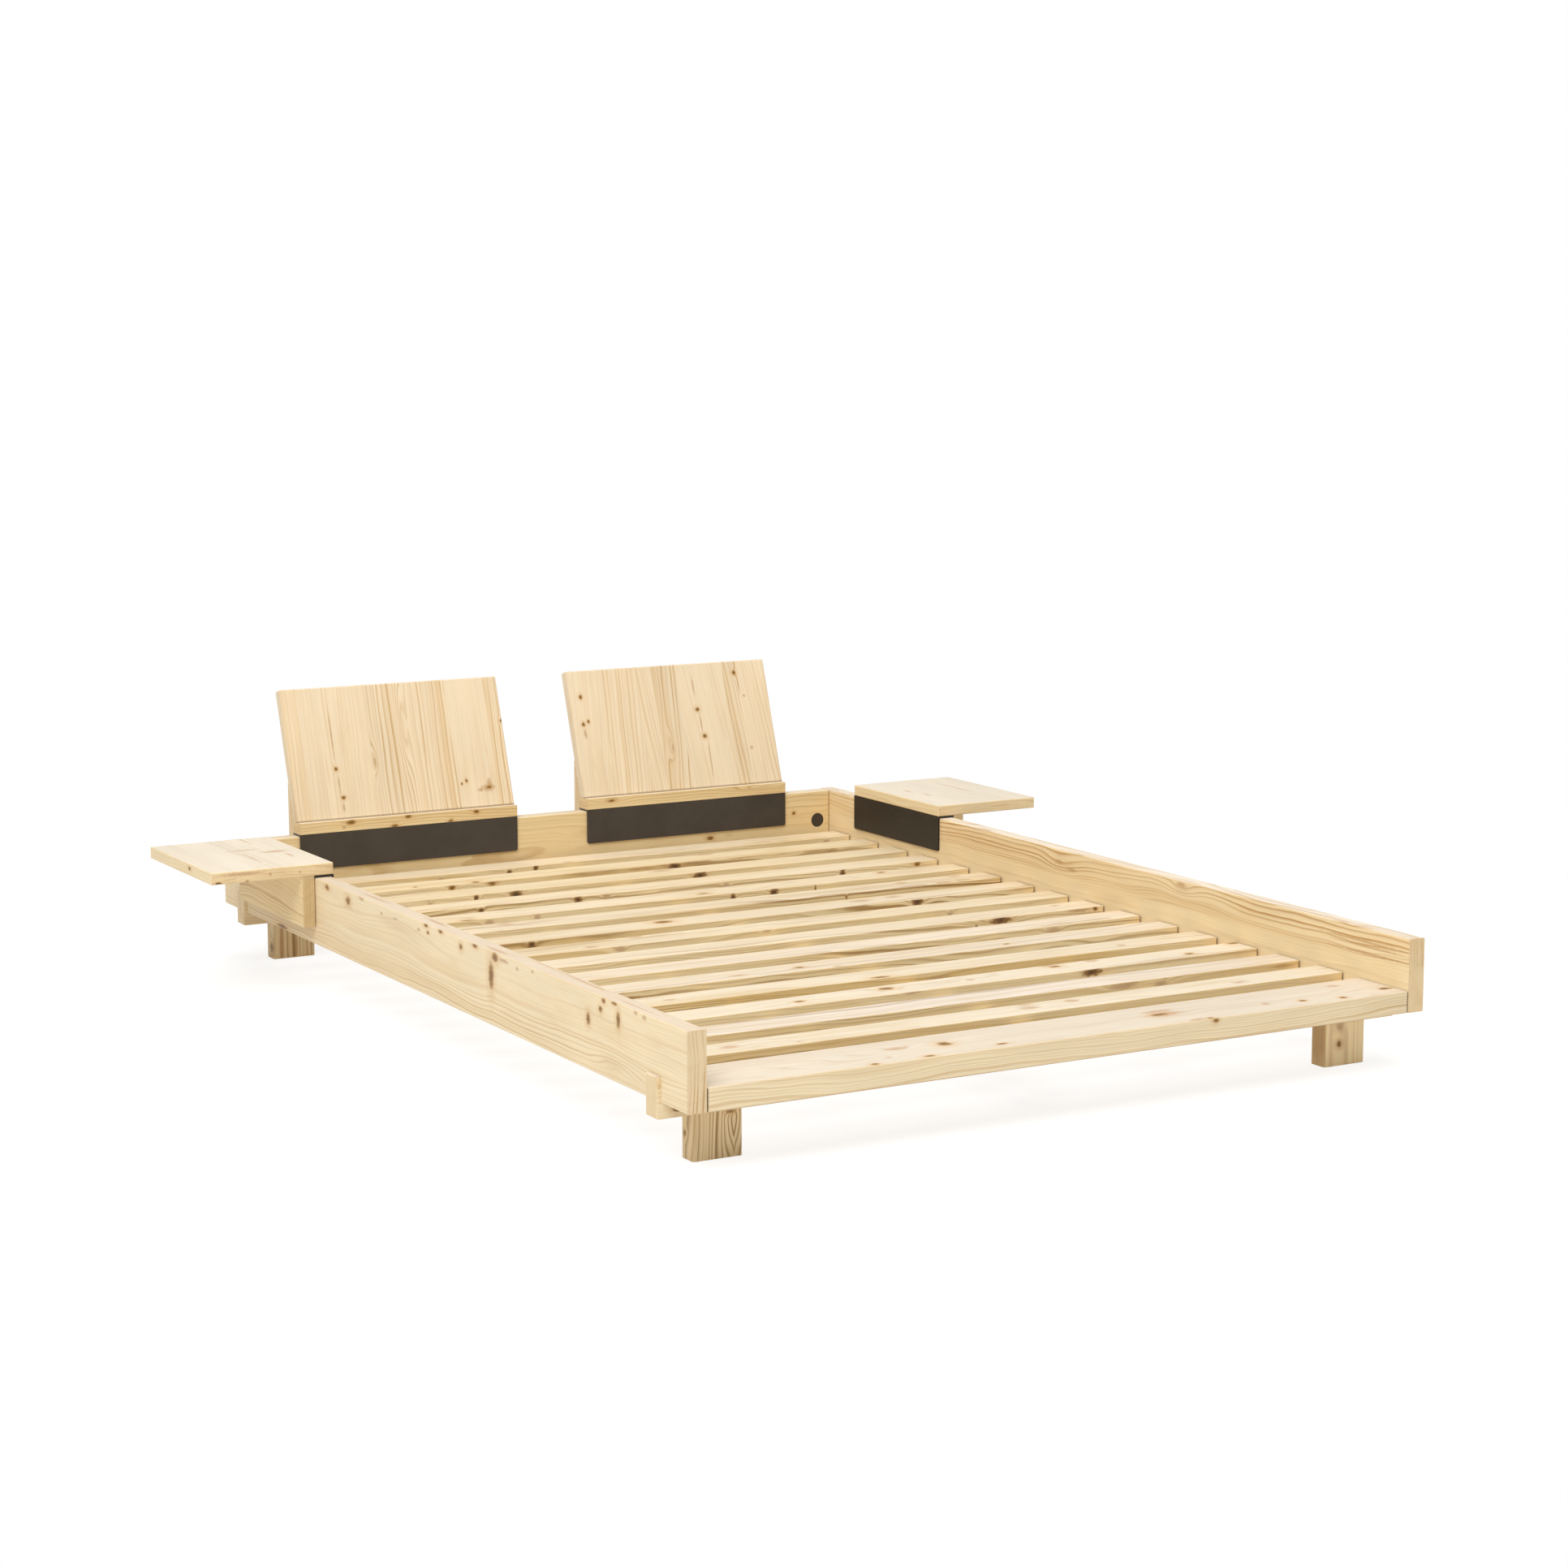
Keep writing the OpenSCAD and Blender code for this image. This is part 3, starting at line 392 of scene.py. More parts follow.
# What marks each board: kind, face, place along, place sideways, half length and half width in millimetres.
# Places are measured from the board's middle. Face "w" is the wide face, with a mark that goes through the
# board; "e" and "t" are the edges on the low and the high side, where sideways is through the board. "n" is
# the end on the low side, where the two places are across the board and through it.
MARKS = {
    "backrest_left_back": [
        ("knot", "w", -35, -148, 4, 4), ("knot", "w", -97, -140, 4, 5), ("streak", "w", 40, -148, 54, 2),
        ("streak", "w", -67, -145, 21, 2), ("streak", "w", -118, -142, 12, 3), ("swirl", "w", 50, 15, 75, 8),
        ("swirl", "w", -24, -58, 26, 8), ("ghost", "w", -26, -58, 9, 3), ("knot", "w", -100, 196, 4, 6),
        ("streak", "w", -101, 192, 8, 17), ("streak", "w", -95, 197, 16, 7), ("streak", "w", -104, 176, 5, 9),
        ("knot", "w", -82, 145, 4, 3), ("knot", "w", -88, 133, 3, 2), ("knot", "w", 43, 246, 4, 3),
    ],
    "backrest_left_base": [
        ("knot", "e", -135, 6, 11, 5), ("knot", "e", -5, 8, 8, 4), ("knot", "e", -36, -9, 8, 3),
        ("knot", "e", 93, -9, 6, 3), ("ghost", "e", -151, -3, 3, 3), ("knot", "e", 152, 6, 7, 4),
    ],
    "backrest_right_back": [
        ("knot", "w", 83, -222, 5, 4), ("knot", "w", 21, -225, 5, 4), ("knot", "w", 27, -212, 4, 3),
        ("knot", "w", 37, 62, 5, 5), ("knot", "w", -25, 70, 5, 5), ("knot", "w", 115, 169, 5, 5),
        ("ghost", "w", 61, 185, 3, 3), ("ghost", "w", -59, 184, 4, 3), ("swirl", "w", -46, -16, 30, 7),
        ("ghost", "w", -46, -14, 8, 2), ("streak", "w", 91, 60, 28, 2), ("streak", "w", 7, 66, 26, 2),
        ("streak", "w", -78, 76, 46, 2), ("streak", "w", 88, 175, 23, 2), ("ghost", "w", -1, -223, 9, 3),
    ],
    "backrest_right_base": [
        ("swirl", "e", -190, 3, 30, 6), ("knot", "e", -190, 4, 8, 3), ("swirl", "e", 178, 4, 50, 5),
    ],
    "beam_foot": [
        # Painted shade: the dark mark and two streaks darken the beam's face under the side board, beside the
        # upstand
        ("dark", "w", -705, -10, 9, 13), ("streak", "w", -667, -15, 40, 5), ("streak", "w", -674, -1, 30, 4),
    ],
    "foot_plank": [
        ("knot", "w", -222, 1, 13, 12), ("ghost", "w", -307, 11, 17, 8), ("knot", "w", -288, -59, 11, 5),
        ("knot", "w", -393, -63, 8, 5), ("ghost", "w", -351, -36, 6, 3), ("ghost", "w", 224, 2, 29, 13),
        ("knot", "w", 212, 1, 17, 8),
        ("ghost", "w", 223, 24, 26, 7), ("ghost", "w", 245, -61, 12, 5), ("dark", "w", 680, -28, 11, 6),
        ("knot", "w", 569, -49, 7, 6), ("knot", "w", 492, -34, 7, 6), ("ghost", "w", 614, 34, 11, 6),
        ("knot", "w", -139, -46, 10, 5), ("ghost", "w", 421, -23, 7, 6), ("knot", "e", 279, 16, 6, 5),
        ("knot", "w", 272, -63, 7, 4),
    ],
    "headboard": [
        ("knot", "w", 607, 20, 5, 4), ("knot", "w", 391, -19, 8, 5), ("swirl", "w", 85, 17, 50, 9),
    ],
    "leg_foot_left": [
        ("knot", "w", 37, 22, 4, 7), ("knot", "e", 3, 7, 5, 4), ("swirl", "w", -45, 29, 34, 11),
    ],
    "leg_foot_right": [
        ("knot", "w", 1, -13, 6, 5), ("ghost", "w", 36, -10, 10, 7), ("streak", "e", 1, 6, 22, 4),
        # The second streak below browns most of the narrow face: partly the wood's own colour, partly painted
        # shade from the plank
        ("streak", "e", 10, 0, 60, 50),
    ],
    "leg_head_left": [
        ("knot", "e", -15, -7, 11, 9), ("streak", "w", -11, -28, 51, 6), ("streak", "w", -14, 4, 34, 4),
    ],
    "side_board_left": [
        ("knot", "w", 451, 57, 9, 5), ("knot", "w", 345, 48, 11, 8), ("ghost", "w", 279, 65, 10, 5),
        ("ghost", "w", 183, 51, 6, 2), ("ghost", "w", 118, 51, 6, 2), ("knot", "w", -23, 63, 9, 4),
        ("knot", "w", -31, 51, 5, 3), ("ghost", "w", 10, 50, 6, 2), ("knot", "w", -88, 63, 9, 4),
        ("knot", "w", -175, 50, 7, 6), ("knot", "w", -235, 63, 10, 4), ("knot", "w", -318, 57, 12, 8),
        ("ghost", "w", -352, 57, 15, 3), ("knot", "w", -301, 22, 10, 24), ("ghost", "w", -407, 53, 5, 3),
        ("ghost", "w", -468, 59, 5, 3), ("knot", "w", -678, 20, 7, 10), ("knot", "w", -723, 44, 6, 5),
        ("knot", "w", -735, 60, 6, 4), ("knot", "w", -773, 63, 10, 3), ("knot", "w", -786, 38, 7, 12),
        ("ghost", "w", -847, 62, 6, 3), ("ghost", "w", -877, 60, 6, 3), ("swirl", "w", -765, -36, 60, 11),
        ("swirl", "w", 110, 40, 110, 14), ("knot", "w", 695, -61, 26, 5), ("streak", "w", 752, -38, 54, 5),
        ("ghost", "t", -20, 5, 40, 4), ("ghost", "t", -306, -7, 35, 4), ("ghost", "t", -632, 7, 60, 3),
        ("streak", "t", -816, -3, 90, 2), ("ghost", "t", 255, 2, 50, 3), ("streak", "t", -510, 10, 120, 2),
        ("streak", "t", 510, 9, 100, 2),
    ],
    "side_board_right": [
        ("swirl", "w", 50, 36, 50, 18), ("streak", "w", 58, 40, 16, 5), ("swirl", "w", -354, 50, 36, 14),
        ("streak", "w", -354, 58, 17, 5), ("streak", "w", 14, 30, 20, 4), ("streak", "w", -919, 21, 122, 3),
        ("streak", "w", -919, 33, 122, 2), ("streak", "w", -896, 41, 134, 2),
    ],
    "slat_01": [
        ("ghost", "w", 42, 1, 18, 7), ("ghost", "w", 49, 26, 13, 6), ("ghost", "w", 137, 12, 12, 8),
        ("ghost", "w", -542, 2, 16, 8), ("ghost", "w", 484, -10, 13, 6), ("ghost", "w", -424, -19, 5, 5),
    ],
    "slat_02": [
        ("ghost", "e", 304, 4, 26, 6), ("ghost", "e", 384, -2, 12, 5), ("streak", "e", 658, 2, 32, 4),
        ("swirl", "e", 340, 2, 60, 8),
    ],
    "slat_03": [
        ("dark", "e", 321, 4, 18, 7), ("ghost", "e", -61, 9, 17, 4), ("knot", "w", 558, -10, 9, 6),
        ("ghost", "w", 363, 26, 13, 8), ("knot", "w", 690, 27, 15, 7), ("knot", "w", -273, -5, 10, 6),
        ("knot", "w", -88, 10, 15, 10), ("ghost", "w", 81, 0, 9, 6), ("ghost", "w", 268, 30, 16, 6),
        ("knot", "w", 276, 17, 12, 6),
    ],
    "slat_04": [
        ("ghost", "e", 77, -5, 26, 4), ("ghost", "e", -516, -5, 24, 3), ("streak", "e", -161, 11, 50, 3),
        ("streak", "e", -390, -12, 24, 3), ("ghost", "w", 494, -9, 9, 7), ("knot", "w", -46, -26, 19, 6),
        ("ghost", "w", -461, -4, 11, 6),
    ],
    "slat_05": [
        ("knot", "w", -129, -3, 8, 6), ("ghost", "w", -259, -10, 17, 6), ("ghost", "w", -62, -26, 7, 4),
        ("knot", "w", 316, -12, 7, 4),
    ],
    "slat_06": [
        ("ghost", "e", 491, 1, 15, 5),
    ],
    "slat_07": [
        ("dark", "e", 451, 3, 20, 7), ("dark", "e", 394, -4, 3, 3), ("swirl", "e", 440, 2, 60, 8),
        ("dark", "e", 677, 6, 5, 4), ("ghost", "e", 638, 6, 22, 5), ("ghost", "w", 613, 14, 10, 5),
    ],
    "slat_08": [
        ("ghost", "e", 413, 1, 6, 5), ("ghost", "e", -6, 6, 9, 3), ("ghost", "e", -321, 4, 10, 5),
        ("ghost", "w", -374, -18, 12, 9), ("ghost", "w", -257, 31, 14, 9),
    ],
    "slat_09": [
        ("dark", "e", -447, 2, 8, 7), ("dark", "e", 413, 4, 12, 8),
        ("knot", "w", -143, 9, 20, 12), ("ghost", "w", 304, 7, 23, 10), ("ghost", "w", 384, 12, 16, 8),
        ("ghost", "w", 703, -14, 16, 8),
    ],
    "slat_10": [
        ("knot", "e", 320, 1, 2, 7), ("ghost", "w", -420, 18, 16, 7), ("ghost", "w", 480, 13, 14, 8),
        ("ghost", "w", 565, -26, 16, 8), ("ghost", "w", 616, 22, 14, 6),
    ],
    "slat_11": [
        ("ghost", "e", -421, 0, 9, 5), ("ghost", "e", -317, 2, 6, 6), ("dark", "e", 221, 2, 9, 8),
        ("knot", "e", 319, 0, 2, 8), ("dark", "e", 125, 0, 5, 6), ("knot", "w", -465, -32, 17, 5),
        ("knot", "w", 69, -10, 13, 5), ("knot", "w", 509, 16, 10, 6),
    ],
    "slat_12": [
        ("dark", "e", -382, 1, 5, 4), ("dark", "e", -167, 3, 8, 7), ("ghost", "e", -103, 4, 7, 5),
        ("knot", "e", 645, 4, 8, 6), ("dark", "e", 458, 0, 6, 8), ("ghost", "e", 176, 0, 8, 4),
    ],
    "slat_13": [
        ("dark", "e", -337, 2, 5, 5), ("dark", "e", -247, 2, 12, 9), ("dark", "e", 181, 2, 13, 9),
        ("ghost", "e", -439, -1, 5, 3), ("ghost", "w", 117, 20, 23, 8),
    ],
    "slat_14": [
        ("knot", "e", -336, 3, 8, 6), ("knot", "e", -245, 4, 8, 5), ("dark", "e", 185, 2, 13, 8),
        ("streak", "e", 105, 4, 39, 4), ("streak", "e", 362, 8, 61, 3), ("streak", "e", 526, 8, 52, 3),
        ("streak", "e", 578, 3, 15, 6), ("knot", "w", -279, -29, 9, 8), ("knot", "w", -411, -18, 5, 5),
        ("ghost", "w", 290, 28, 20, 9),
    ],
    "slat_15": [
        ("ghost", "e", -307, 0, 6, 4), ("dark", "e", -147, 0, 5, 4), ("dark", "e", -86, 4, 5, 5),
        ("swirl", "e", -165, 0, 50, 7), ("ghost", "e", 636, 0, 8, 4), ("ghost", "w", -6, -29, 10, 6),
    ],
    "table_left_top": [
        ("ghost", "w", -2, 70, 11, 22), ("ghost", "w", -52, 82, 20, 3), ("ghost", "w", -50, 4, 41, 2),
        ("ghost", "w", 40, 20, 4, 30), ("ghost", "w", 148, 61, 40, 2), ("knot", "e", -56, 3, 6, 4),
        ("dark", "n", -110, -9, 6, 2), ("ghost", "n", -5, 0, 3, 3), ("ghost", "n", 56, -1, 3, 2),
        ("knot", "n", -52, -10, 3, 2), ("ghost", "n", -59, 5, 33, 3),
    ],
    "table_right_top": [
        ("ghost", "w", 35, -72, 16, 3), ("ghost", "w", -27, -60, 16, 3), ("ghost", "w", 33, 49, 65, 2),
    ],
}

REACH = 1.5              # a mark on an edge or end goes this many half widths into the board
MM = 1000.0              # millimetres in a metre
LEAN = math.radians(18.5)    # of the backrests' panels, from upright
PANEL_LENGTH = 0.285     # of those panels, in metres along the slope
PANEL_THICK = 0.024
SHADE_LINE_FROM, SHADE_LINE_FULL = 0.0020, 0.0008    # where painted shade at an end starts and is full, in metres from the end
GROOVE_REACH = 0.002     # how much farther a leaning panel's painted shade goes, over the groove along its foot
GROOVE_SHADE, END_SHADE = 0.45, 0.7        # how strong the two kinds of painted shade are
# The colour of the painted shade at board ends and in a leaning panel's groove
SHADE_LINE_COLOR = srgb(92, 66, 38)
END_TINT = srgb(236, 222, 206)
PINE_SHINE = 0.28        # how much it reflects
PINE_RELIEF, PINE_DEPTH = 0.35, 0.0006   # how strong the relief is, and how deep in metres


def middle_and_half(node, leaning):
    """The middle of a board and half its size, both in metres. A leaning panel's size is taken upright."""
    low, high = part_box(node)
    middle, half = (low + high) / 2, (high - low) / 2
    if leaning:
        middle.y = low.y + (math.sin(LEAN) * PANEL_LENGTH + math.cos(LEAN) * PANEL_THICK) / 2
        middle.z = low.z + (math.cos(LEAN) * PANEL_LENGTH - math.sin(LEAN) * PANEL_THICK) / 2
        half.y = PANEL_THICK / 2
        half.z = PANEL_LENGTH / 2
    return middle, half


def mark_frame(face, place, side, size, width, half_size):
    """Where in the board a mark's middle lies, and how many mark sizes there are to a metre on each axis."""
    deep = REACH * width
    if face == "w":
        return (place, side, 0.0), (1.0 / size, 1.0 / width, 0.0)
    if face == "n":
        return (-half_size[0], place, side), (1.0 / deep, 1.0 / size, 1.0 / width)
    edge = half_size[1] if face == "t" else -half_size[1]
    return (place, edge, side), (1.0 / size, 1.0 / deep, 1.0 / width)


def nearest_mark(w, node, wanted, grain, half_size, masks):
    """The distance to the nearest mark of one kind, in mark sizes."""
    distances = []
    for kind, face, *millimetres in MARKS.get(node, ()):
        if kind == wanted:
            centre, squash = mark_frame(face, *(measure / MM for measure in millimetres), half_size)
            offset = w.vector("MULTIPLY", w.vector("SUBTRACT", grain, centre), squash)
            distances.append(w.plus(w.length(offset), masks[face]))
    return w.chain("MINIMUM", *distances) if distances else FAR_AWAY


def pine(node, along, across, seed, colors=PALE, pith=(0.05, 0.09), ring=0.005, taper=0.004, wave=0.03,
         lines=0.6, ends=1.0, bands=0.6, tone=1.0, staves=(), soft=False, leaning=False, shaded_ends=False):
    """Dresses a board in pine.

    along and across name the axes of the grain and of the wide face. pith is how far the log's middle lies
    from the board's, across the wide face and behind it, in metres. staves are the strips that a glued panel
    is made of: where each starts (0 to 1 across), its tone, its place in the log and its ring strength. A
    soft board goes smoothly from one to the next. A leaning board is one of the backrests' panels, with a
    line of painted shade over the groove along its foot. The last argument paints shade on the last
    millimetres of both ends, where they meet the next part.
    """
    middle, half = middle_and_half(node, leaning)
    depth = ({"X", "Y", "Z"} - {along, across}).pop()
    order = ["XYZ".index(axis) for axis in (along, across, depth)]
    half_size = tuple(half[axis] for axis in order)
    material, w, shader = new_material("pine " + node)
    here = w.vector("SUBTRACT", w.here(), tuple(middle))
    facing = w.add("ShaderNodeNewGeometry").outputs["True Normal"]
    upward = w.split(facing)[2]
    if leaning:
        here, facing = (w.add("ShaderNodeVectorRotate", {"Vector": vector, "Angle": LEAN},
                              rotation_type="X_AXIS").outputs[0] for vector in (here, facing))
    place, normal = ([w.split(vector)[axis] for axis in order] for vector in (here, facing))
    grain = w.combine(*place)

    # A mark shows only on the face it belongs to. On the others it is far away
    masks = {"w": w.step(w.math("ABSOLUTE", normal[2]), 0.55, 0.65, FAR_AWAY, 0.0),
             "e": w.step(normal[1], -0.65, -0.55, 0.0, FAR_AWAY),
             "t": w.step(normal[1], 0.55, 0.65, FAR_AWAY, 0.0),
             "n": w.step(normal[0], -0.65, -0.55, 0.0, FAR_AWAY)}
    stave = (tone, 0.0, 1.0)
    if staves:
        share = w.times(w.plus(place[1], half_size[1]), 0.5 / half_size[1])
        stops = [(start, own_tone * tone, in_log, own_lines) for start, own_tone, in_log, own_lines in staves]
        stave = w.ramp(share, stops, "EASE" if soft else "CONSTANT")

    draw = random.Random(seed)
    values = {
        "Grain": grain, "Half size": half_size, "Top": w.step(upward, 0.6, 0.95),
        "End": w.step(w.math("ABSOLUTE", normal[0]), 0.8, 0.95),
        "Stave": stave, "Pith": (0.0, pith[0], -pith[1]),
        "Seed": tuple(draw.uniform(5, 60) for _ in range(3)),
        "Ring": ring, "Taper": taper, "Wave": wave, "Lines": lines, "End lines": ends, "Bands": bands,
        "Light": colors["light"], "Dark": colors["dark"], "Band color": colors["band"],
        "Painted top light": colors["tint"], "End tint": colors.get("end", END_TINT),
    }
    for kind, name in MARK_INPUTS.items():
        values[name] = nearest_mark(w, node, kind, grain, half_size, masks)
    board = w.add("ShaderNodeGroup", values, node_tree=PINE).outputs
    color = board["Color"]
    # Painted shade: a dark line on the last millimetres of the ends and over a leaning panel's groove, not on
    # tops
    if leaning or shaded_ends:
        to_end = (w.plus(place[0], half_size[0]) if leaning
                  else w.math("SUBTRACT", half_size[0], w.math("ABSOLUTE", place[0])))
        farther = GROOVE_REACH if leaning else 0.0
        strength = GROOVE_SHADE if leaning else END_SHADE
        painted_shade = w.times(w.step(to_end, farther + SHADE_LINE_FROM, farther + SHADE_LINE_FULL, 0.0, strength),
                       w.step(upward, 0.4, 0.6, 1.0, 0.0))
        color = w.mix(painted_shade, color, SHADE_LINE_COLOR)
    w.feed(shader, {"Base Color": color, "Roughness": board["Roughness"], "Specular IOR Level": PINE_SHINE,
                    "Normal": w.bump(board["Height"], PINE_RELIEF, PINE_DEPTH)})
    dress(node, material)


# ---------------------------------------------------------------- the boards

pine("side_board_left", "Y", "Z", 1, BOARD, pith=(0.12, 0.05), ring=0.0065, wave=0.04, lines=0.74, ends=2.0,
     bands=0.65, soft=True,
     staves=((0.0, 0.99, 0.0, 1.0), (0.42, 0.99, 0.0, 0.9), (0.62, 1.0, 0.0, 0.3), (1.0, 1.0, 0.0, 0.3)))
pine("side_board_right", "Y", "Z", 2, WARM, pith=(-0.12, 0.05), ring=0.0075, wave=0.05, lines=0.95, ends=0.35,
     bands=0.7, soft=True,
     staves=((0.0, 0.99, 0.0, 0.15), (0.56, 0.99, 0.0, 0.15), (0.66, 1.0, 0.0, 1.1), (1.0, 1.0, 0.0, 1.2)))
pine("headboard", "X", "Z", 3, GOLD, pith=(-0.02, 0.07), ring=0.008, wave=0.04, lines=0.6, bands=0.35,
     tone=0.985, shaded_ends=True)
pine("foot_plank", "X", "Y", 4, PLANK, pith=(-0.06, 0.10), ring=0.006, wave=0.05, lines=0.65, bands=0.35,
     shaded_ends=True)

# No two slats are alike, and the light painted on their tops is less blue and green towards the head,
# for the warm light thrown back by the headboard and backrests
SLATS = 15
for number in range(1, SLATS + 1):
    draw = random.Random(number)
    far = (number - 1) / (SLATS - 1)
    blush = 1.0 + draw.uniform(-0.04, 0.05)
    colors = dict(SLAT, tint=(0.86 + 0.01 * far, 0.93 - 0.05 * far, (1.24 - 0.27 * far) * blush, 1.0))
    pine(f"slat_{number:02d}", "X", "Y", 20 + number, colors, ring=draw.uniform(0.0045, 0.008), wave=0.04,
         taper=draw.uniform(0.006, 0.02), pith=(draw.uniform(-0.06, 0.06), draw.uniform(0.03, 0.09)),
         lines=draw.uniform(0.5, 0.9), bands=draw.uniform(0.5, 0.9), tone=draw.uniform(0.98, 1.02),
         shaded_ends=True)

for side in ("left", "right"):
    pine("ledger_" + side, "Y", "Z", 40, WARM)
    pine(f"table_{side}_apron", "Y", "Z", 52, APRON, pith=(0.08, 0.05), ring=0.008, wave=0.07, lines=0.8,
         ends=0.5, tone=0.96)
    pine(f"backrest_{side}_base", "X", "Y", 54, GOLD, lines=0.7)
    pine(f"backrest_{side}_apron", "X", "Z", 58)

LEGS = {
    "leg_foot_left": dict(pith=(0.029, 0.018), ring=0.007, lines=0.8, bands=0.4, tone=0.96),
    # The tone above 1 on the next line is painted light: it lifts the front of a leg standing in the plank's
    # shade
    "leg_foot_right": dict(pith=(-0.01, 0.05), ring=0.008, lines=0.25, bands=0.15, tone=1.13),
    "leg_head_left": dict(pith=(0.05, 0.02), ring=0.012, lines=0.8, bands=0.6, tone=0.91),
    "leg_head_right": dict(pith=(0.0, 0.04), ring=0.008, lines=0.7, bands=0.5, tone=1.0),
}
for number, (name, looks) in enumerate(LEGS.items()):
    pine(name, "Z", "X", 60 + number, LEG, wave=0.03, **looks)

TOP_STAVES = {
    "left": ((0.0, 0.99, 0.2, 0.6), (0.2, 1.0, 0.7, 0.5), (0.42, 0.98, 0.4, 0.9), (0.6, 1.0, 0.9, 0.8),
             (0.84, 0.975, 0.1, 0.6)),
    "right": ((0.0, 1.0, 0.5, 0.4), (0.3, 0.985, 0.1, 0.5), (0.55, 1.0, 0.8, 1.0), (0.78, 0.985, 0.3, 0.8)),
}
for number, (side, staves) in enumerate(TOP_STAVES.items()):
    pine(f"table_{side}_top", "Y", "X", 50 + number, TABLE, ring=0.006, pith=(-0.3, 0.05), lines=0.8,
         bands=0.3, staves=staves)

PANEL_STAVES = {
    "left": ((0.0, 1.0, 0.9, 0.7), (0.07, 0.965, 0.75, 0.4), (0.15, 0.985, 0.6, 0.3),
             (0.375, 0.96, 0.85, 1.5), (0.50, 1.0, 0.25, 0.8), (0.60, 0.99, 0.15, 0.9),
             (0.75, 1.0, 0.45, 0.3), (0.93, 1.0, 0.3, 0.9)),
    "right": ((0.0, 1.0, 0.9, 0.2), (0.16, 1.0, 0.8, 0.6), (0.34, 0.985, 0.12, 0.5), (0.42, 0.96, 0.87, 1.5),
              (0.54, 0.985, 0.15, 0.2), (0.78, 0.97, 0.3, 0.9), (0.85, 1.0, 0.1, 0.5)),
}
PANEL_TAPER = {"left": 0.004, "right": 0.07}
for number, (side, staves) in enumerate(PANEL_STAVES.items()):
    pine(f"backrest_{side}_back", "Z", "X", 56 + number, PANEL, leaning=True, ring=0.0095, wave=0.025,
         pith=(-0.3, 0.05), taper=PANEL_TAPER[side], lines=0.95, bands=0.7, staves=staves)

pine("centre_rail", "Y", "Z", 70)
pine("centre_leg", "Z", "Y", 71, LEG)
pine("beam_foot", "X", "Z", 72, lines=0.45, ends=0.5, tone=0.97)
# The head beam's tone above 1 is painted light: it lifts the end that lies in the left table's shadow
pine("beam_head", "X", "Z", 73, lines=0.45, ends=0.5, tone=1.05)


# ---------------------------------------------------------------- the other materials

def clouded(name, colors, rough, scale, detail=3.0, metallic=0.0, relief=None):
    """A material whose colour and roughness drift between two values each.

    scale says how fast they drift. relief is the scale, strength and depth in metres of a fine bump.
    """
    material, w, shader = new_material(name)
    cloud = w.noise(w.here(), scale, detail, 0.6)
    w.feed(shader, {"Base Color": w.mix(w.step(cloud, 0.3, 0.7), *colors), "Metallic": metallic,
                    "Roughness": w.step(cloud, 0.25, 0.75, *rough)})
    if relief:
        bump_scale, strength, depth = relief
        grit = w.noise(w.here(), bump_scale, detail, 0.6)
        w.feed(shader, {"Normal": w.bump(grit, strength, depth)})
    return material


def webbing():
    material, w, shader = new_material("woven webbing")
    weave = w.add("ShaderNodeTexChecker", {"Vector": w.here(), "Scale": 700.0}).outputs["Fac"]
    wear = w.noise(w.here(), 90.0, 3.0, 0.6)
    color = w.mix(weave, srgb(222, 214, 196), srgb(204, 194, 172))
    color = w.mix(w.step(wear, 0.35, 0.7, 0.0, 0.5), color, srgb(206, 196, 178))
    w.feed(shader, {"Base Color": color, "Roughness": 0.9, "Normal": w.bump(weave, 0.5, 0.0003)})
    return material


def dowel_wood():
    material, w, shader = new_material("beech dowel")
    flecks = w.noise(w.here(), 12.0, 3.0, 0.7, stretch=(60.0, 60.0, 60.0))
    color = w.mix(w.step(flecks, 0.35, 0.7), srgb(214, 178, 132), srgb(190, 150, 104))
    w.feed(shader, {"Base Color": color, "Roughness": 0.6})
    return material


POWDER = dict(rough=(0.40, 0.50), scale=14.0, relief=(900.0, 0.25, 0.0002))
COAT = clouded("brown black powder coat", (srgb(60, 53, 46), srgb(67, 60, 53)), **POWDER)
# The tables' saddles take a darker copy of the same coat: painted shade, for faces that look into the dim bed
SHADED_COAT = clouded("table powder coat", (srgb(31, 25, 21), srgb(37, 31, 27)), **POWDER)
ZINC = clouded("zinc plated steel", (srgb(196, 198, 196), srgb(214, 212, 204)), rough=(0.28, 0.42),
               scale=60.0, metallic=1.0)
CAP = clouded("brown black plastic", (srgb(56, 48, 40), srgb(62, 54, 46)), rough=(0.46, 0.56), scale=1400.0,
              detail=2.0, relief=(1400.0, 0.3, 0.0001))
TAPE = webbing()
DOWEL = dowel_wood()

for name in NODES:
    if name.endswith("_saddle"):
        dress(name, SHADED_COAT if name.startswith("table") else COAT)
    elif name.endswith("_screws") or name in ("corner_studs", "corner_washers", "corner_nuts", "rail_hanger"):
        dress(name, ZINC)
    elif name.endswith("_dowels"):
        dress(name, DOWEL)
dress("pocket_caps", CAP)
dress("slat_tapes", TAPE)


# ---------------------------------------------------------------- floor, light and camera

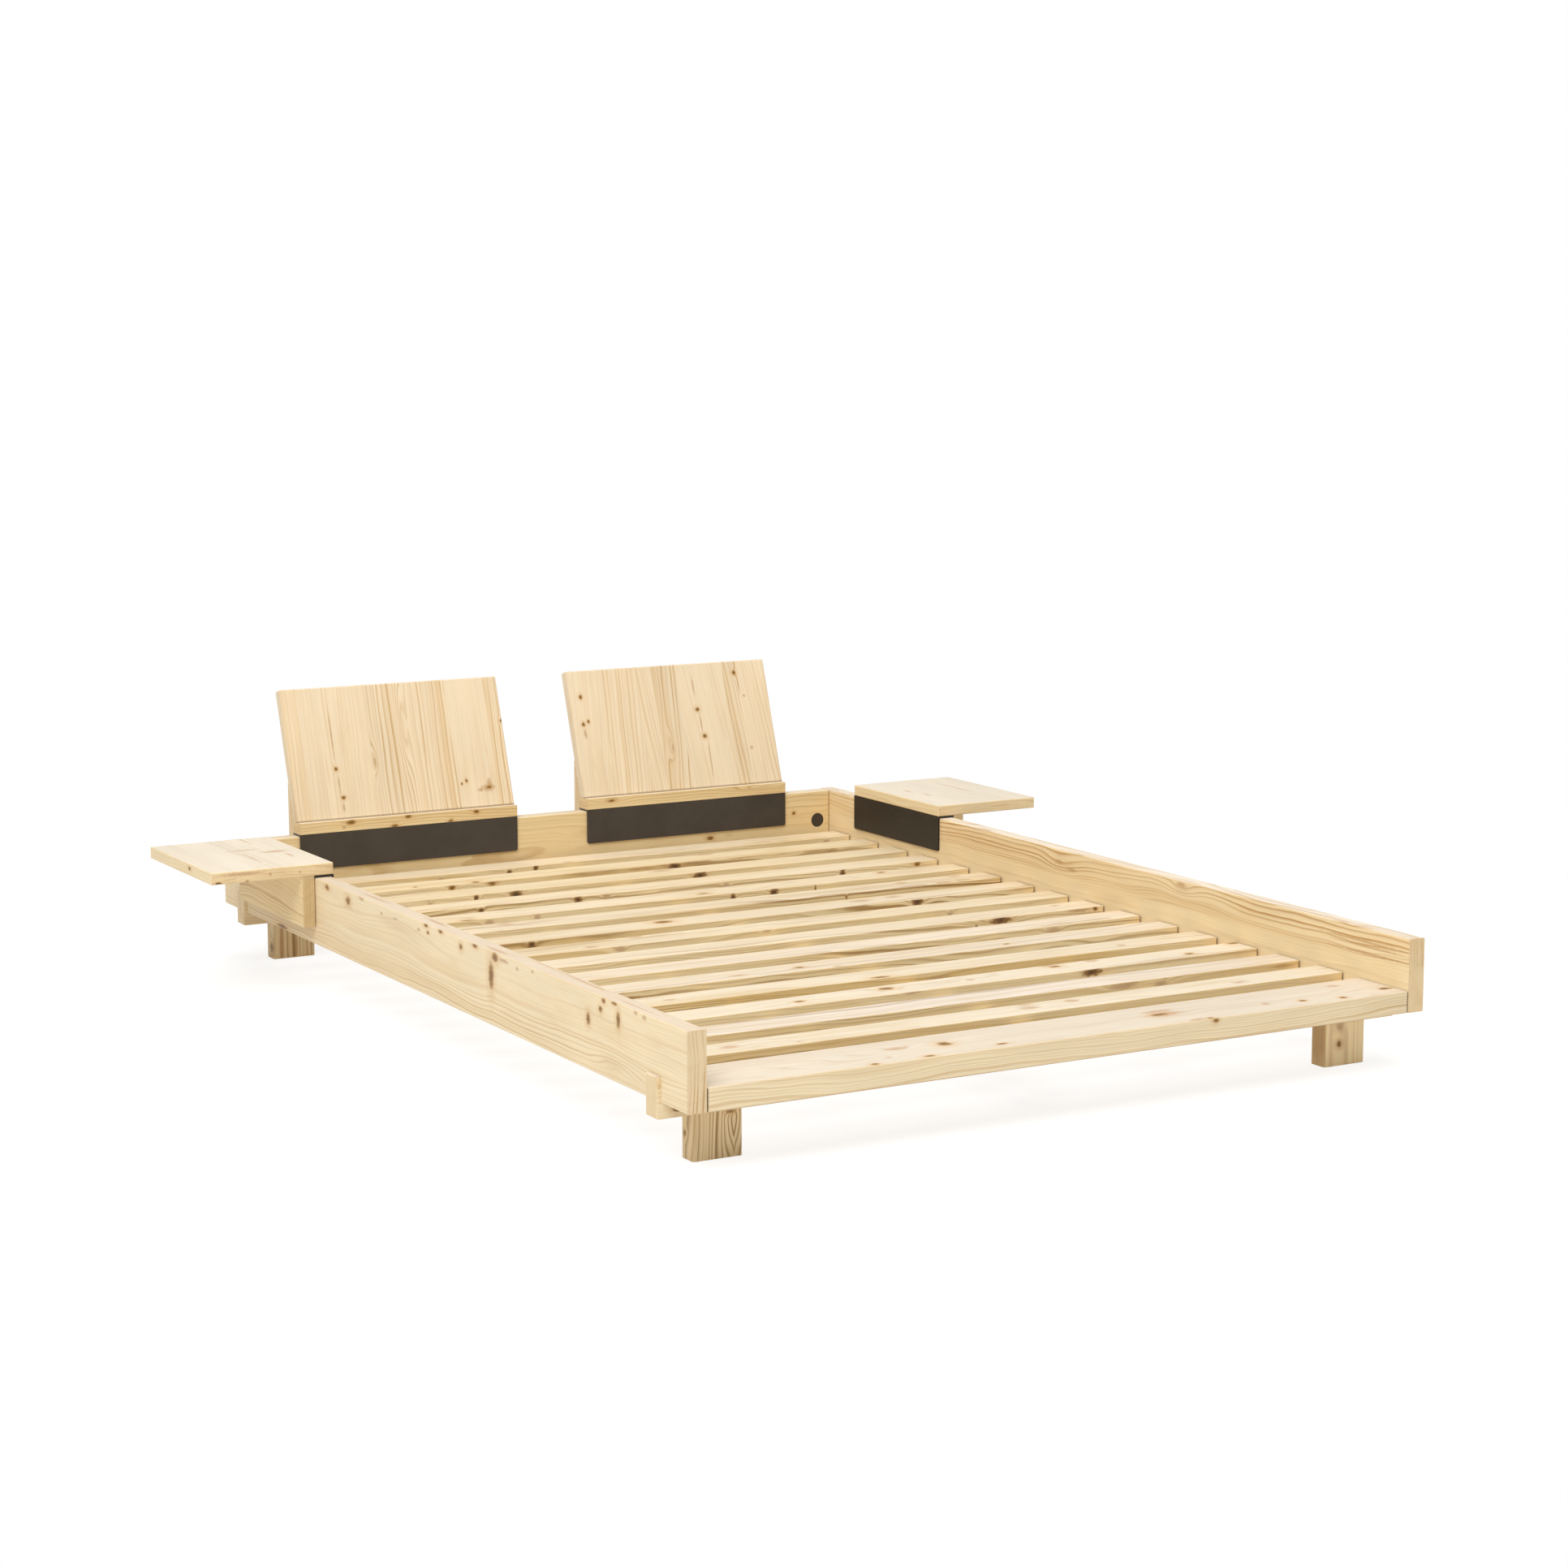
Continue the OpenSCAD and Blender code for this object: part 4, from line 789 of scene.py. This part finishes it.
FLOOR_HALF = 40.0            # half the floor's side, in metres
FLOOR_BOUNCE = 0.82          # how much light it throws back on the object
FLOOR_SEEN, FLOOR_GLOW = 0.30, 0.79    # the camera sees it nearly white, with shadows that stay faint
FLOOR_OVAL = (1.0, 0.85, 0.0)          # it turns white outwards in ovals a little longer than wide
OVAL_FROM, OVAL_TO = 1.3, 2.4          # where it starts to turn white and where it is white
SKY = 0.48                   # how bright the white round about is as light
AIM = Vector((0.0, 0.0, 0.2))          # both lamps point here
KEY_PLACE, KEY_SIZE, KEY_WATTS = (-3.5, -3.0, 5.5), 4.0, 290.0
TOP_PLACE, TOP_SIZE, TOP_WATTS = (0.6, 0.8, 6.0), 5.0, 195.0

# The camera, fitted to the photo. Its place in y is measured from the object's foot end
CAMERA_X, CAMERA_FROM_FOOT, CAMERA_Z = -3.0198, -4.2972, 1.3539
CAMERA_LENS, CAMERA_SENSOR = 74.49, 36.0
CAMERA_NEAR, CAMERA_FAR = 0.1, 200.0
CAMERA_TURN, CAMERA_DOWN, CAMERA_ROLL = 0.5195, 0.1499, -0.0011    # radians


def floor_material():
    """Pale floor that takes the object's shadow and goes over into the white background."""
    material = bpy.data.materials.new("pale floor")
    w = emptied(material)
    plain = w.add("ShaderNodeBsdfDiffuse", {"Color": (FLOOR_BOUNCE,) * 3 + (1.0,)})
    seen = w.add("ShaderNodeBsdfDiffuse", {"Color": (FLOOR_SEEN,) * 3 + (1.0,)})
    glow = w.add("ShaderNodeEmission", {"Color": WHITE, "Strength": FLOOR_GLOW})
    near = w.add("ShaderNodeAddShader", {0: seen.outputs[0], 1: glow.outputs[0]})
    far = w.add("ShaderNodeEmission", {"Color": WHITE, "Strength": 1.0})
    distance = w.length(w.vector("MULTIPLY", w.here(), FLOOR_OVAL))
    away = w.step(distance, OVAL_FROM, OVAL_TO)
    lit = w.add("ShaderNodeMixShader", {0: away, 1: near.outputs[0], 2: far.outputs[0]})
    path = w.add("ShaderNodeLightPath").outputs
    direct = w.math("MAXIMUM", path["Is Camera Ray"], path["Is Glossy Ray"])
    both = w.add("ShaderNodeMixShader", {0: direct, 1: plain.outputs[0], 2: lit.outputs[0]})
    w.add("ShaderNodeOutputMaterial", {"Surface": both.outputs[0]})
    return material


def place_in_scene(thing):
    bpy.context.scene.collection.objects.link(thing)


def make_floor():
    mesh = bpy.data.meshes.new("floor")
    corners = [(x * FLOOR_HALF, y * FLOOR_HALF, 0) for x, y in ((-1, -1), (1, -1), (1, 1), (-1, 1))]
    mesh.from_pydata(corners, [], [(0, 1, 2, 3)])
    mesh.materials.append(floor_material())
    floor = bpy.data.objects.new("floor", mesh)
    place_in_scene(floor)


def make_world():
    """Plain white, seen as such by the camera and dimmer as light."""
    world = bpy.data.worlds.new("studio")
    w = emptied(world)
    path = w.add("ShaderNodeLightPath").outputs
    strength = w.math("MAXIMUM", path["Is Camera Ray"], SKY)
    sky = w.add("ShaderNodeBackground", {"Color": WHITE, "Strength": strength})
    w.add("ShaderNodeOutputWorld", {"Surface": sky.outputs[0]})
    bpy.context.scene.world = world


def area_light(name, place, size, watts):
    lamp = bpy.data.lights.new(name, "AREA")
    lamp.shape = "SQUARE"
    lamp.size = size
    lamp.energy = watts
    holder = bpy.data.objects.new(name, lamp)
    holder.location = place
    holder.rotation_mode = "QUATERNION"
    holder.rotation_quaternion = (AIM - Vector(place)).to_track_quat("-Z", "Y")
    place_in_scene(holder)


def make_camera():
    camera = bpy.data.cameras.new("camera")
    camera.sensor_fit = "HORIZONTAL"
    camera.sensor_width = CAMERA_SENSOR
    camera.lens = CAMERA_LENS
    camera.clip_start = CAMERA_NEAR
    camera.clip_end = CAMERA_FAR
    level = math.cos(CAMERA_DOWN)
    ahead = Vector((math.sin(CAMERA_TURN) * level, math.cos(CAMERA_TURN) * level, -math.sin(CAMERA_DOWN)))
    right = ahead.cross(Vector((0, 0, 1))).normalized()
    up = right.cross(ahead)
    rolled_right = right * math.cos(CAMERA_ROLL) + up * math.sin(CAMERA_ROLL)
    rolled_up = up * math.cos(CAMERA_ROLL) - right * math.sin(CAMERA_ROLL)
    turned = Matrix((rolled_right, rolled_up, -ahead)).transposed()
    foot_end = cad_box[0].y
    holder = bpy.data.objects.new("camera", camera)
    place = Matrix.Translation((CAMERA_X, foot_end + CAMERA_FROM_FOOT, CAMERA_Z))
    holder.matrix_world = place @ turned.to_4x4()
    place_in_scene(holder)
    bpy.context.scene.camera = holder


make_floor()
make_world()
area_light("key", KEY_PLACE, KEY_SIZE, KEY_WATTS)
area_light("top", TOP_PLACE, TOP_SIZE, TOP_WATTS)
make_camera()
bpy.context.scene.view_settings.view_transform = "Standard"
